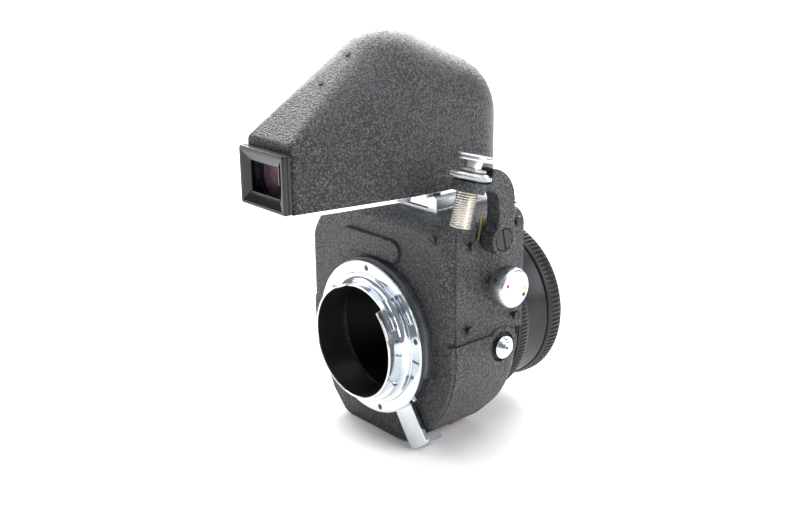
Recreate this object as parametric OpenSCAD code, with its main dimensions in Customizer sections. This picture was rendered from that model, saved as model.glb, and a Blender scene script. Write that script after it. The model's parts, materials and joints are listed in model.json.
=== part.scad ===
// Mirror reflex housing with an eye-level magnifying finder and a short focusing mount.
// Frame: origin on the optical axis in the plane of the camera flange, +X to the user's right,
// +Y towards the lens, +Z up.  Lengths in millimetres, angles in degrees.

/* [Body] */
// Radius of the round lower body
body_r = 37.5; // [36.5:0.5:46]
// Casting wall thickness
wall = 2; // [1.6:0.1:2.4]
// Height of the top face above the optical axis
top_z = 47; // [46:0.5:58]
// Distance between the camera flange and the lens flange
register = 41; // [40:0.5:50]
// Half width of the flat foot on the user's left
foot_left = 17.6; // [14:0.2:21]
// Half width of the flat foot on the user's right
foot_right = 10; // [8:0.2:12]
// Height of the seam between the lower body and the upper cover
seam_z = 5.2; // [4.8:0.1:6.5]
// Rounding of the upper cover's rear top edge
cover_round = 5.5; // [4:0.5:6.5]

/* [Camera bayonet] */
// Outer radius of the bayonet tube
tube_r = 20.4; // [17:0.1:21]
// Wall of the bayonet tube
tube_wall = 0.8; // [0.7:0.1:1.2]
// How far the tube stands behind the flange
tube_len = 7.6; // [6.5:0.1:9]
// Outer radius of the chrome flange
flange_r = 27.5; // [27:0.1:31]
// Thickness of the chrome flange
flange_t = 2.4; // [2:0.1:3]
// How far the lugs stand out from the tube
lug_out = 1.5; // [1.2:0.1:1.8]
// How far the lock lever stands out past the round body
lever_out = 4.3; // [4.2:0.1:8]
// Width of the lock lever
lever_w = 9.5; // [7:0.5:11]
// Turn of the lock lever
lever_turn = 26; // [20:1:27]

/* [Focusing mount] */
// Radius of the small grip ring
grip_r = 32.2; // [31.5:0.1:36]
// Width of the small grip ring
grip_w = 6.7; // [5:0.1:8]
// Radius of the focusing ring
focus_r = 30.6; // [30:0.1:35]
// Width of the focusing ring
focus_w = 7.6; // [6:0.1:10]
// Length of the flared barrel between the two rings
barrel_len = 11.6; // [9:0.1:15]
// Radius of the lens thread
thread_r = 19.5; // [16:0.1:20]
// Wall of the sliding lens seat
seat_wall = 4.8; // [4.4:0.1:5.2]
// Travel of the lens seat
seat_travel = 8; // [5:0.5:9]

/* [Finder] */
// Width of the finder shell at the front
finder_w = 44; // [42:0.5:50]
// Width of the finder shell at the eyepiece
finder_rear_w = 25.4; // [25:0.2:28]
// Wall thickness of the finder shell
shell_wall = 2.2; // [1.8:0.1:2.6]
// Height of the finder shell above its base
finder_h = 51.5; // [48:0.5:60]
// Distance of the shell's rear end behind the camera flange
finder_back = 38.5; // [37:0.5:45]
// Distance of the shell's front in front of the camera flange
finder_front = 48; // [47:0.5:54]
// Height of the shoe and base together
shoe_h = 7.3; // [7:0.1:8.5]
// Width of the eyepiece window
window_w = 15; // [12:0.5:16]
// Height of the eyepiece window
window_h = 9.8; // [8:0.2:11]

/* [Mirror] */
// Length of the mirror along its slope
mirror_len = 27; // [22:0.5:27]
// Width of the mirror
mirror_w = 38; // [30:0.5:40]
// Thickness of the mirror glass
mirror_t = 1.5; // [1:0.1:2]
// Height of the mirror hinge above the optical axis
hinge_z = 20; // [19:0.5:22]

/* [Release arm] */
// Depth of the arm pivot below the top face
pivot_drop = 6.6; // [6:0.2:8]
// Distance of the arm pivot in front of the camera flange
pivot_y = 23.2; // [22:0.2:26]
// Width of the arm
arm_w = 7.4; // [6:0.2:8]
// Thickness of the arm
arm_t = 5.7; // [5.4:0.1:7]
// Radius of the threaded plunger barrel
barrel_r = 3.55; // [3:0.05:4]
// Lean of the plunger away from upright
plunger_lean = 15.8; // [10:0.2:18]
// Radius of the plunger's lock nut
nut_r = 6.7; // [6:0.1:8]
// Radius of the plunger's push button
button_r = 6.1; // [5:0.1:7]

/* [Controls] */
// Radius of the mirror control knob
knob_r = 6.9; // [5.5:0.05:7.5]
// Height of the knob
knob_h = 6.4; // [5:0.1:8]
// Radius of the lens release button
release_r = 4; // [3.2:0.1:4.4]
// Travel of the lens release button
release_travel = 1.2; // [0.8:0.1:1.4]

/* [Hidden] */
$fn = 96;
eps = 0.01;
far = 200;
fit = 0.06;           // radial clearance of a running fit
gap = 0.3;            // clearance between pieces that move past each other

// Rear of the body
backing_t = 2.1;                          // spacer ring between flange and cover
cover_y = flange_t + backing_t;           // rear face of the upper cover
plate_y = cover_y + 0.4;                  // rear face of the lower rear plate
cover_front = register - 2.2;             // front face of the upper cover
body_front = register - 4.5;              // front face of the lower body
cover_left = body_r + 0.5;
cover_right = body_r - 1;
shoulder_r = 28;                          // rounding of the cover's left shoulder
right_r = 5;                              // rounding of the cover's right top edge
corner_r = 5;                             // rounding of the cover's rear right corner
bore_r = tube_r - tube_wall;              // clear light path
path_r = tube_r + 0.6;                    // hole in the rear wall
base_r = tube_r + 3;                      // foot of the bayonet ring, inside the flange
flange_in = base_r + fit;
lever_ring_r = base_r + 0.6;
backing_r = flange_r + 0.7;
flange_screw_r = (base_r + flange_r) / 2;
flange_screw_angles = [91, 13, -77, -167];
screw_r = 1.05;
lever_angle = -56;
lever_y0 = flange_t + 0.15;
lever_y1 = cover_y - 0.15;
tab_len = 8.7;
tab_t = 2.6;
lug_angles = [42, 145, 222, 315];
lug_half = 16;
lug_y0 = -tube_len + 2.8;
lug_y1 = lug_y0 + 1.9;
lever_reach = body_r + lever_out;
cut_from = 47;
cut_to = 108;

// Front of the body
throat_r = 22;                            // bore of the lens flange
lens_flange_r = 29;
front_screw_r = 26.6;
mount_y = register;                       // lens flange face
seat_r = thread_r + seat_wall;            // outside of the lens seat
base_in = seat_r + fit;
base_out = base_in + 2.6;                 // journal of the focusing ring
collar_t = 0.6;
grip_y = mount_y + collar_t + 0.2;
barrel_y = grip_y + grip_w;
focus_y = barrel_y + barrel_len + gap;
focus_end = focus_y + focus_w;
seat_y0 = mount_y + 3;
key_w = 3;

key_y0 = seat_y0 + seat_travel + 0.4;
key_l = 6;

// Release arm and side cover
pivot_z = top_z - pivot_drop;
side_x = cover_right;                     // inner plane of the side cover
side_t = 2.5;
side_out = side_x + side_t;
side_y0 = cover_y + 1.7;
side_y1 = cover_front - 0.5;
side_z0 = seam_z + 1.2;
side_z1 = pivot_z + 3.4;
side_top = top_z + 1.2;
arm_x0 = side_x + 0.3;
arm_x1 = arm_x0 + arm_t;
arm_bend_r = 8.2;
arm_bend_y = pivot_y - 7.2;
arm_bend_z = pivot_z + 12.8;
boss_r = 5.3;
notch_r = boss_r + 1.1;
pivot_screw_r = 2.5;
pivot_head_r = 3.5;
pivot_thread_r = 1.9;
hub_r = 4.2;
cam_x = 29.4;
cam_t = 2;
cam_l = 13;
plunger_x = arm_x0 + 2.6;
plunger_tip_y = pivot_y - 17.1;
plunger_tip_z = pivot_z + 6.8;
barrel_top = 19.1;
eye_s0 = 11.6;
eye_s1 = 15.2;
nut_s0 = eye_s1 + 0.3;
nut_s1 = nut_s0 + 2.4;
neck_r = 2.9;
pin_r = 1.2;
button_s = 21.7;
button_t = 1.8;

// Controls
knob_y = 25.7;
knob_z = 23.7;
knob_x0 = side_out + gap;
knob_x1 = knob_x0 + knob_h;
knob_shaft_r = 2;
release_y = body_front - 7.9;
release_x = body_r + 0.1;                 // underside of the release button at rest
release_stem_r = 2;
lock_pin_x = 26.2;
lock_pin_r = 1.2;

// Mirror, screen and chassis
shaft_r = 1.25;
box_x = mirror_w / 2 + 3;                 // inner half width of the mirror box
box_wall = 1.5;
box_z0 = -24;
box_y0 = plate_y + wall;
hinge_y = box_y0 + 2;
crank_r = hinge_y - cover_y - wall - gap; // eye of the mirror's crank, clear of the cover's rear wall
box_y1 = body_front - wall - 0.8;
roof_z = top_z - wall;                    // underside of the cover's top wall
screen_half_x = 18;
screen_y0 = 12.5;
screen_y1 = 33;
screen_t = 1.5;
window_x = 16;
window_y0 = 14;
window_y1 = 31.5;

// Finder and shoe
shoe_w = 44.6;
shoe_y0 = 11.4;
shoe_y1 = cover_front + 0.8;
lip_t = 1.3;
base_z0 = top_z + shoe_h - 1.2;           // underside of the finder's base plate
base_z1 = top_z + shoe_h;                 // top of the finder's base plate
rail_in = 18.1;
rail_lip = 16.9;
rail_step = top_z + 3.9;
prism_y0 = 8;
prism_y1 = 36;
prism_lift = 4.6;
eye_z = base_z1 + 9.4;                    // height of the eyepiece axis
eye_half_w = 12;
eye_half_h = 9.4;
eye_t = 3;
dome_y = 9.7;
dome_r = 20.5;
rear_top = base_z1 + 22.6;
front_r = 16;
front_arc = 21;
front_cz = base_z1 + 21.5;
rear_r = 2.6;
rear_cy = -finder_back + rear_r;
rear_cz = rear_top - rear_r;
dome_z = base_z1 + finder_h - dome_r;
slope_run = norm([dome_y - rear_cy, dome_z - rear_cz]);
slope_a = atan2(dome_z - rear_cz, dome_y - rear_cy) + asin((dome_r - rear_r) / slope_run);
slope_screws = [25, 38.6];                // distances of the screws up the slope
side_lean = atan2(finder_w / 2 - 1.2 - finder_rear_w / 2, 2 + finder_back);

// ---------- helpers ----------

// A 2D shape drawn in X and Z, extruded along Y
module along_y(y0, y1) {
    translate([0, y1, 0]) rotate([90, 0, 0]) linear_extrude(y1 - y0) children();
}

// A 2D shape drawn in Y and Z, extruded along X
module along_x(x0, x1) {
    translate([x0, 0, 0]) rotate([90, 0, 90]) linear_extrude(x1 - x0) children();
}

module disc_y(r, y0, y1) {
    translate([0, y0, 0]) rotate([-90, 0, 0]) cylinder(r = r, h = y1 - y0);
}

module ring_y(r_out, r_in, y0, y1) {
    difference() {
        disc_y(r_out, y0, y1);
        disc_y(r_in, y0 - 1, y1 + 1);
    }
}

module disc_x(r, x0, x1, y, z) {
    translate([x0, y, z]) rotate([0, 90, 0]) cylinder(r = r, h = x1 - x0);
}

// A pie slice in X and Z between two angles measured from +X towards +Z
module slice(a0, a1, r) {
    steps = 8;
    arc = [for (i = [0:steps]) let (a = a0 + (a1 - a0) * i / steps) [r * cos(a), r * sin(a)]];
    polygon(concat([[0, 0]], arc));
}

// Children placed on the plunger's axis, at the distance s above its tip
module on_plunger(s = 0) {
    translate([plunger_x, plunger_tip_y, plunger_tip_z]) rotate([-plunger_lean, 0, 0])
        translate([0, 0, s]) children();
}

// A slotted screw along +Z, its head's top at z = 0
module slotted_screw(r, head_h, shank_r, shank_l, slot = 0.5) {
    difference() {
        union() {
            translate([0, 0, -head_h]) cylinder(r = r, h = head_h, $fn = 32);
            translate([0, 0, -head_h - shank_l]) cylinder(r = shank_r, h = shank_l + eps, $fn = 24);
        }
        translate([-r - 1, -slot / 2, -head_h / 2]) cube([2 * r + 2, slot, head_h]);
    }
}

// ---------- body ----------

// Outline of the round lower body with its flat foot
module lower_outline(inset = 0) {
    r = body_r - inset;
    circle(r);
    polygon([
        [-0.965 * r, 0], [-0.9 * r, -0.45 * r], [-0.72 * r, -0.8 * r], [-foot_left - 3.2 + inset, -r + 1.1],
        [-foot_left + inset, -r], [foot_right - inset, -r], [foot_right + 4 - inset, -r + 0.9],
        [0.533 * r, -0.877 * r], [0.66 * r, -0.74 * r], [0, 0]
    ]);
}

// Outline of the upper cover seen from the rear
module cover_outline(inset = 0) {
    left = cover_left - inset;
    right = cover_right - inset;
    top = top_z - inset;
    sr = shoulder_r - inset;
    rr = right_r - inset;
    difference() {
        union() {
            translate([-left, seam_z]) square([left, top - sr - seam_z]);
            translate([-left + sr, top - sr]) circle(sr);
            translate([-left + sr, seam_z]) square([left - sr + right - rr, top - seam_z]);
            translate([right - rr, seam_z]) square([rr, top - rr - seam_z]);
            translate([right - rr, top - rr]) circle(rr, $fn = 48);
        }
        translate([-far, seam_z - far]) square([2 * far, far]);
    }
}

// Side profile of the upper cover, with its rounded rear top edge
module cover_profile(inset = 0) {
    y0 = cover_y + inset;
    y1 = cover_front - inset;
    top = top_z - inset;
    r = cover_round - inset / 2;
    translate([y0, seam_z]) square([y1 - y0, top - r - seam_z]);
    translate([y0 + r, seam_z]) square([y1 - y0 - r, top - seam_z]);
    translate([y0 + r, top - r]) circle(r, $fn = 48);
}

// Plan of the upper cover, with its rounded rear corners
module cover_plan(inset = 0) {
    left = -cover_left + inset;
    right = cover_right - inset;
    y0 = cover_y + inset;
    y1 = cover_front - inset;
    r = corner_r - inset / 2;
    left_r = 3 - inset / 2;
    translate([left + left_r, y0]) square([right - left - left_r - r, y1 - y0]);
    translate([left, y0 + left_r]) square([right - left, y1 - y0 - left_r - r]);
    translate([left, y0 + r]) square([right - left, y1 - y0 - r]);
    translate([left + left_r, y0 + left_r]) circle(left_r, $fn = 48);
    translate([right - r, y0 + r]) circle(r, $fn = 48);
}

module cover_block(inset = 0) {
    intersection() {
        along_y(cover_y - 1, cover_front + 1) cover_outline(inset);
        along_x(-far, far) cover_profile(inset);
        translate([0, 0, -far]) linear_extrude(2 * far) cover_plan(inset);
    }
}

// Holes through the right side for the arm's hub, the knob's shaft and the mirror shaft
module side_bores(x0, x1) {
    disc_x(hub_r + gap, x0, x1, pivot_y, pivot_z);
    disc_x(knob_shaft_r + fit, x0, x1, knob_y, knob_z);
}

// The part of the lower outline under the seam
module below_seam(inset = 0) {
    intersection() {
        lower_outline(inset);
        translate([-far, seam_z - far]) square([2 * far, far]);
    }
}

front_round = 3;

module lower_housing() {
    color("#4a4b4f") difference() {
        union() {
            difference() {
                union() {
                    along_y(plate_y + wall, body_front - front_round) below_seam();
                    hull() for (a = [0:22.5:90]) {
                        y = body_front - front_round + front_round * sin(a);
                        along_y(y - eps, y) below_seam(front_round * (1 - cos(a)));
                    }
                }
                along_y(plate_y, body_front - wall - 0.5) lower_outline(wall);
            }
            intersection() {
                disc_x(release_r + 3, release_x - 6, body_r, release_y, 0);
                along_y(plate_y + wall, body_front) lower_outline();
            }
        }
        disc_y(throat_r + 1, 0, far);
        disc_x(release_r + 1.4, release_x - release_travel - 0.5, far, release_y, 0);
        disc_x(release_stem_r + fit, body_r - 12, far, release_y, 0);
        translate([lock_pin_x, 0, 0]) disc_y(lock_pin_r + fit, body_front - 5, far);
        front_screw_places(screw_r, 12);
        cover_block(-eps);
    }
}

module rear_plate() {
    color("#46474b") difference() {
        union() {
            along_y(plate_y, plate_y + wall) intersection() {
                lower_outline(0.2);
                translate([-far, seam_z - far]) square([2 * far, far]);
            }
            intersection() {
                disc_y(backing_r + 0.6, cover_y, plate_y + eps);
                translate([-far, -far, seam_z - 2 * far]) cube(2 * far);
            }
        }
        disc_y(path_r, -far, far);
        flange_screw_places(screw_r * 0.8, 12);
    }
}

module upper_cover() {
    color("#55565a") difference() {
        cover_block();
        difference() {
            cover_block(wall);
            translate([-far, -far, seam_z - 2 * far]) cube([2 * far, 2 * far, far]);
        }
        translate([-cover_left + wall, cover_y + wall, seam_z - 1])
            cube([cover_left + cover_right - 2 * wall, cover_front - cover_y - 2 * wall, 2]);
        disc_y(path_r, -far, cover_front / 2);
        disc_y(lens_flange_r + 0.1, cover_front / 2, far);
        translate([-window_x, window_y0, roof_z - 1]) cube([2 * window_x, window_y1 - window_y0, 2 * wall]);
        side_bores(cover_right - wall - right_r, far);
        side_screw_places(0.9, 1.6);
        flange_screw_places(screw_r * 0.8, 12);
        translate([rear_screw_x, cover_y, rear_screw_z]) rotate([-90, 0, 0])
            cylinder(r = 0.9, h = 3, $fn = 24);
        translate([catch_x, catch_y, roof_z - 1]) cylinder(r = catch_stem_r + fit, h = 2 * wall, $fn = 32);
        translate([catch_pin_x, catch_y, roof_z - 1]) cylinder(r = catch_pin_r + fit, h = 2 * wall, $fn = 32);
    }
}

rear_screw_x = cover_right - 8.3;
rear_screw_z = top_z - 5.9;

module rear_screw() {
    color("#3b3c3f") translate([rear_screw_x, cover_y - 0.7, rear_screw_z]) rotate([90, 20, 0])
        slotted_screw(1.8, 0.7, 0.85, 2.4);
}

// The room under the cover's roof, a little inside its rounded shoulder
module under_roof() {
    translate([0, 0, 0.2]) cover_block(wall + 0.2);
    translate([-box_x - box_wall, box_y0, box_z0])
        cube([2 * (box_x + box_wall), box_y1 - box_y0, seam_z + 1 - box_z0]);
}

module mirror_box() {
    color("#1d1d1f") difference() {
        intersection() {
            translate([-box_x - box_wall, box_y0, box_z0])
                cube([2 * (box_x + box_wall), box_y1 - box_y0, roof_z - box_z0]);
            under_roof();
        }
        translate([-box_x, box_y0 - 1, box_z0 + box_wall])
            cube([2 * box_x, box_y1 - box_y0 + 2, far]);
        disc_x(shaft_r + fit, -far, far, hinge_y, hinge_z);
        disc_x(pivot_thread_r, box_x - 1, far, pivot_y, pivot_z);
    }
}

// Outline of the side cover, which stays clear of the release arm
module side_outline(inset = 0) {
    r = 2.5;
    y0 = side_y0 + inset;
    y1 = side_y1 - inset;
    z0 = side_z0 + inset;
    difference() {
        union() {
            translate([y0 + r, z0]) square([y1 - y0 - 2 * r, side_z1 - inset - z0]);
            translate([y0, z0 + r]) square([y1 - y0, side_z1 - inset - z0 - r]);
            translate([y0 + r, z0 + r]) circle(r, $fn = 32);
            translate([y1 - r, z0 + r]) circle(r, $fn = 32);
            translate([pivot_y + 6, z0 + r]) square([y1 - pivot_y - 6, side_top - inset - r - z0]);
            translate([pivot_y + 6, side_top - inset - r - 1]) square([y1 - pivot_y - 6 - r, r + 1]);
            translate([y1 - r, side_top - inset - r]) circle(r, $fn = 32);
        }
        translate([pivot_y, pivot_z]) circle(notch_r + inset);
        translate([pivot_y - notch_r - 3 - inset, pivot_z + 1]) square([2 * notch_r + 3 + 2 * inset, far]);
    }
}

module side_cover() {
    color("#525357") difference() {
        union() {
            along_x(side_x, side_out - 0.8) side_outline();
            along_x(side_out - 0.8 - eps, side_out - 0.35) side_outline(0.3);
            along_x(side_out - 0.35 - eps, side_out) side_outline(0.8);
        }
        disc_x(knob_shaft_r + fit, side_x - 1, far, knob_y, knob_z);
        side_screw_places(1.75, 1.3);
    }
}

side_screws = [[side_y0 + 7.6, side_z1 - 4.6], [side_y0 + 6.6, side_z0 + 3.6],
    [side_y1 - 3.6, side_z0 + 3.6], [side_y1 - 3.6, side_top - 4.6]];

module side_screw_places(r, depth) {
    for (p = side_screws) disc_x(r, side_out - depth, far, p[0], p[1]);
    for (p = side_screws) disc_x(0.9, side_x - wall - 1, far, p[0], p[1]);
}

module side_cover_screws() {
    color("#2f3033") for (i = [0:3])
        translate([side_out - 0.3, side_screws[i][0], side_screws[i][1]]) rotate([0, 90, 0])
            rotate([0, 0, 35 + 70 * i]) slotted_screw(1.7, 1, 0.85, 3);
}

blank_half = 11.2;
blank_r = 3.9;
blank_x = -3;
blank_z = backing_r + 0.4 + blank_r;

module blank_plate() {
    color("#4e4f53") along_y(cover_y - 0.8, cover_y) {
        translate([blank_x - blank_half, blank_z - blank_r]) square([2 * blank_half, 2 * blank_r]);
        translate([blank_x - blank_half, blank_z]) circle(blank_r);
        translate([blank_x + blank_half, blank_z]) circle(blank_r);
    }
}

// Dot on the slanted side of the foot
module red_index() {
    low = [foot_right + 4, -body_r + 0.9];
    high = [0.533 * body_r, -0.877 * body_r];
    edge = high - low;
    lean = atan2(edge[1], edge[0]);
    mid = low + 0.85 * edge;
    color("#c3202b") translate([mid[0], body_front - 14.5, mid[1]]) rotate([0, 180 - lean, 0])
        cylinder(r = 1, h = 0.4, $fn = 32);
}

// ---------- camera bayonet ----------

module flange_screw_places(r, depth) {
    for (a = flange_screw_angles) rotate([0, -a, 0]) translate([flange_screw_r, -1, 0])
        rotate([-90, 0, 0]) cylinder(r = r, h = depth + 1, $fn = 24);
}

module backing_ring() {
    color("#8e9196") difference() {
        ring_y(backing_r, lever_ring_r + gap, flange_t, cover_y);
        along_y(flange_t - 1, cover_y + 1)
            slice(lever_angle - 14, lever_angle + lever_turn + 14, 2 * backing_r);
        flange_screw_places(screw_r * 0.8, 12);
    }
}

module rear_flange() {
    color("#d5d8dc") difference() {
        union() {
            ring_y(flange_r, flange_in, 0.3, flange_t);
            ring_y(flange_r - 0.3, flange_in, 0, 0.4);
        }
        flange_screw_places(screw_r + 0.02, 0.7);
        flange_screw_places(screw_r * 0.8, 12);
        rotate([0, 3.5, 0]) translate([base_r - 0.5, -1, -0.6]) cube([flange_r - base_r - 0.4, 1.6, 1.2]);
    }
}

module flange_screws() {
    color("#5d6066") for (a = flange_screw_angles) rotate([0, -a, 0])
        translate([flange_screw_r, 0.05, 0]) rotate([90, a, 0])
            slotted_screw(screw_r, 0.6, screw_r * 0.75, 5, 0.35);
}

module flange_stop() {
    color("#d0d2d6") rotate([0, 35.4, 0]) translate([flange_r, 1.2, 0]) rotate([0, 90, 0])
        cylinder(r = 0.8, h = 1.3, $fn = 24);
}

module bayonet_ring() {
    color("#d9dce0") difference() {
        union() {
            ring_y(tube_r, bore_r, -tube_len, 0);
            ring_y(base_r, bore_r, -0.3, flange_t + 0.15);
            difference() {
                ring_y(tube_r + lug_out, tube_r - eps, lug_y0, lug_y1);
                difference() {
                    disc_y(far, -tube_len, 0);
                    for (a = lug_angles) along_y(-tube_len, 0) slice(a - lug_half, a + lug_half, far);
                }
            }
        }
        along_y(-tube_len - 1, lug_y0 + 0.2) slice(cut_from, cut_to, far);
    }
}

module lock_lever() {
    half = lever_w / 2;
    c = 1.6;
    low = [for (a = [-90:15:0]) [lever_reach - c + c * cos(a), -half + c + c * sin(a)]];
    high = [for (a = [0:15:90]) [lever_reach - c + c * cos(a), half - c + c * sin(a)]];
    color("#dcdfe2") {
        ring_y(lever_ring_r, bore_r, lever_y0, lever_y1);
        rotate([0, -lever_angle, 0]) {
            along_y(lever_y0 + 0.1, lever_y1 - 0.1)
                polygon(concat([[base_r - 1.5, -half]], low, high, [[base_r - 1.5, half]]));
            translate([lever_reach - tab_t - 0.05, lever_y0 + 0.3, -half + c + 0.2])
                cube([tab_t, tab_len, lever_w - 2 * c - 0.4]);
        }
    }
}

// ---------- lens side ----------

module front_screw_places(r, depth) {
    for (a = [35, 145, 215, 325]) rotate([0, -a, 0]) translate([front_screw_r, mount_y - depth, 0])
        rotate([-90, 0, 0]) cylinder(r = r, h = depth + 1, $fn = 24);
}

module front_flange() {
    color("#cfd2d6") difference() {
        ring_y(lens_flange_r, throat_r, body_front, mount_y);
        translate([lock_pin_x, 0, 0]) disc_y(lock_pin_r + fit, 0, far);
        front_screw_places(screw_r * 0.8, 12);
        front_screw_places(screw_r + 0.2, 1);
    }
}

module front_flange_screws() {
    color("#5d6066") for (a = [35, 145, 215, 325]) rotate([0, -a, 0])
        translate([front_screw_r, mount_y - 0.3, 0]) rotate([-90, a, 0])
            slotted_screw(screw_r + 0.1, 0.7, screw_r * 0.75, 5, 0.35);
}

module lens_lock_pin() {
    color("#c9ccd0") translate([lock_pin_x, 0, 0]) disc_y(lock_pin_r, body_front - 5, mount_y + 0.45);
}

module lens_release_button() {
    step = 0.85;
    color("#dcdfe3") {
        disc_x(release_stem_r, lock_pin_x + lock_pin_r + release_travel + gap, release_x + eps, release_y, 0);
        for (i = [0:3])
            disc_x(release_r - 0.95 * i, release_x + step * i - eps, release_x + step * (i + 1),
                release_y, 0);
    }
}

module focus_base() {
    color("#2b2c2e") difference() {
        union() {
            ring_y(throat_r - 0.1, throat_r - 1.2, mount_y - 4, mount_y + eps);
            ring_y(base_out, throat_r - 1.2, mount_y, mount_y + 2.5);
            ring_y(base_out, base_in, mount_y + 2.4, focus_end - 1.2);
            ring_y(lens_flange_r - 1, throat_r - 1.2, mount_y, mount_y + collar_t);
        }
        translate([lock_pin_x, 0, 0]) disc_y(lock_pin_r + 0.3, 0, mount_y + collar_t + 1);
        rotate([0, -90, 0]) translate([base_in - 1, key_y0, -key_w / 2]) cube([1.8, key_l, key_w]);
    }
}

module focus_grip_ring() {
    color("#2e2f31") ring_y(grip_r, base_out, grip_y, barrel_y);
}

// Smooth sleeve whose outside flares from the grip ring to the focusing ring
module focus_barrel() {
    waist = focus_r - 2.4;
    flare_r = (barrel_len * barrel_len + 1.3 * 1.3) / (2 * 1.3);
    color("#303134") rotate([-90, 0, 0]) rotate_extrude() difference() {
        translate([base_out, barrel_y]) square([focus_r - 1.1 - base_out, barrel_len]);
        translate([waist + flare_r, barrel_y]) circle(flare_r, $fn = 200);
    }
}

module focus_ring() {
    color("#2c2d2f") difference() {
        ring_y(focus_r, seat_r + 0.6, focus_y, focus_end);
        disc_y(base_out + fit, focus_y - 1, focus_end - 0.9);
    }
}

module lens_seat() {
    color("#37383a") difference() {
        ring_y(seat_r, thread_r, seat_y0, focus_end - 0.2);
        rotate([0, -90, 0]) translate([seat_r - 1.6, seat_y0 - 1, -key_w / 2 - 0.1])
            cube([3, key_y0 + key_l + 1.4 - seat_y0, key_w + 0.2]);
    }
}

module focus_key() {
    color("#b9a15a") rotate([0, -90, 0]) translate([seat_r - 1.2, key_y0, -key_w / 2])
        cube([base_in + 0.8 - seat_r + 1.2, key_l, key_w]);
}

// ---------- mirror and screen ----------

module on_hinge() {
    translate([0, hinge_y, hinge_z]) rotate([-45, 0, 0]) children();
}

module mirror_frame() {
    color("#2a2a2c") on_hinge() difference() {
        union() {
            translate([-mirror_w / 2, 0, -1.8]) cube([mirror_w, mirror_len, 1.8 + 0.4]);
            rotate([0, 90, 0]) cylinder(r = 1.8, h = mirror_w, center = true);
        }
        rotate([0, 90, 0]) cylinder(r = shaft_r, h = far, center = true, $fn = 48);
        translate([-mirror_w / 2 + 4, 5, -3]) cube([mirror_w - 8, mirror_len - 9, 6]);
    }
}

module mirror_glass() {
    color("#b8c4cc") on_hinge() translate([-mirror_w / 2 + 0.5, 2.2, 0.4])
        cube([mirror_w - 1, mirror_len - 2.4, mirror_t]);
}

module mirror_shaft() {
    color("#a9acb0") disc_x(shaft_r, -box_x - box_wall - 1, cam_x + cam_t, hinge_y, hinge_z);
}

module mirror_crank() {
    color("#8d9095") difference() {
        union() {
            disc_x(crank_r, cam_x, cam_x + cam_t, hinge_y, hinge_z);
            translate([cam_x, hinge_y, hinge_z]) rotate([20, 0, 0]) translate([0, 0, -1.5])
                cube([cam_t, 9, 3]);
        }
        disc_x(shaft_r, 0, far, hinge_y, hinge_z);
    }
}

module screen_frame() {
    color("#1f1f21") difference() {
        intersection() {
            translate([-screen_half_x - 2, screen_y0 - 2, roof_z - 4])
                cube([2 * screen_half_x + 4, screen_y1 - screen_y0 + 3, 4]);
            under_roof();
        }
        translate([-screen_half_x, screen_y0, roof_z - 2.8])
            cube([2 * screen_half_x, screen_y1 - screen_y0, far]);
        translate([-window_x - 0.5, window_y0, roof_z - 5])
            cube([2 * window_x + 1, window_y1 - window_y0, far]);
    }
}

module focusing_screen() {
    color("#dfe3e2") translate([-screen_half_x + 0.1, screen_y0 + 0.1, roof_z - 2.8])
        cube([2 * screen_half_x - 0.2, screen_y1 - screen_y0 - 0.2, screen_t]);
}

// ---------- finder ----------

module finder_shoe() {
    color("#d6d9dc") difference() {
        union() {
            translate([-shoe_w / 2 - 0.5, shoe_y0, top_z]) cube([shoe_w + 1, shoe_y1 - shoe_y0, lip_t]);
            for (s = [0, 1]) mirror([s, 0, 0]) {
                difference() {
                    translate([rail_lip, shoe_y0 + 0.4, top_z])
                        cube([shoe_w / 2 - rail_lip, shoe_y1 - shoe_y0 - 0.8, base_z0 - gap - top_z]);
                    translate([rail_lip - 1, 0, top_z + lip_t])
                        cube([rail_in - rail_lip + 1, far, rail_step - top_z - lip_t]);
                    translate([shoe_w / 2, 0, base_z0 - gap]) rotate([0, 45, 0])
                        cube([1.4, 2 * far, 1.4], center = true);
                }
            }
            translate([-rail_in, shoe_y1 - 1.4, top_z]) cube([2 * rail_in, 1, 3]);
        }
        translate([-window_x, window_y0, top_z - 1]) cube([2 * window_x, window_y1 - window_y0, lip_t + 2]);
        translate([catch_pin_x, catch_y, top_z - 1]) cylinder(r = catch_pin_r + fit, h = 3, $fn = 32);
    }
}

catch_x = cover_right - 4.2;
catch_y = cover_front - 3.5;
catch_stem_r = 1.5;
catch_pin_r = 0.9;
catch_pin_x = 15;
catch_drop = 1.3;

// Sprung button whose pin rises into the underside of the finder's base
module finder_catch() {
    bar_z1 = roof_z - catch_drop + 0.9;
    color("#d9dcdf") {
        translate([catch_x, catch_y, top_z + catch_drop + 0.2]) cylinder(r = 3.2, h = 0.5);
        translate([catch_x, catch_y, top_z + catch_drop + 0.7 - eps]) intersection() {
            cylinder(r = 3.2, h = 3);
            translate([0, 0, -3.4]) sphere(r = 4.7);
        }
        translate([catch_x, catch_y, bar_z1 - 1])
            cylinder(r = catch_stem_r, h = top_z + 2.5 - bar_z1, $fn = 32);
        translate([catch_pin_x, catch_y, bar_z1 - 1])
            cylinder(r = catch_pin_r, h = top_z + 3.6 - bar_z1, $fn = 32);
        translate([catch_pin_x, catch_y - 0.9, bar_z1 - 1]) cube([catch_x - catch_pin_x, 1.8, 1]);
    }
}

// Plan of the finder's base and of the shell's foot
module finder_plan(inset = 0) {
    rear = finder_rear_w / 2 - inset;
    side = finder_w / 2 - inset;
    back = -finder_back + inset;
    front = finder_front - inset;
    r = front_r - inset;
    arc = [for (a = [0:6:90]) [side - r + r * cos(a), front - r + r * sin(a)]];
    half = concat([[rear, back], [side - 1.2, 2], [side, 14]], arc);
    polygon(concat(half, [for (i = [len(half) - 1:-1:0]) [-half[i][0], half[i][1]]]));
}

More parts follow.
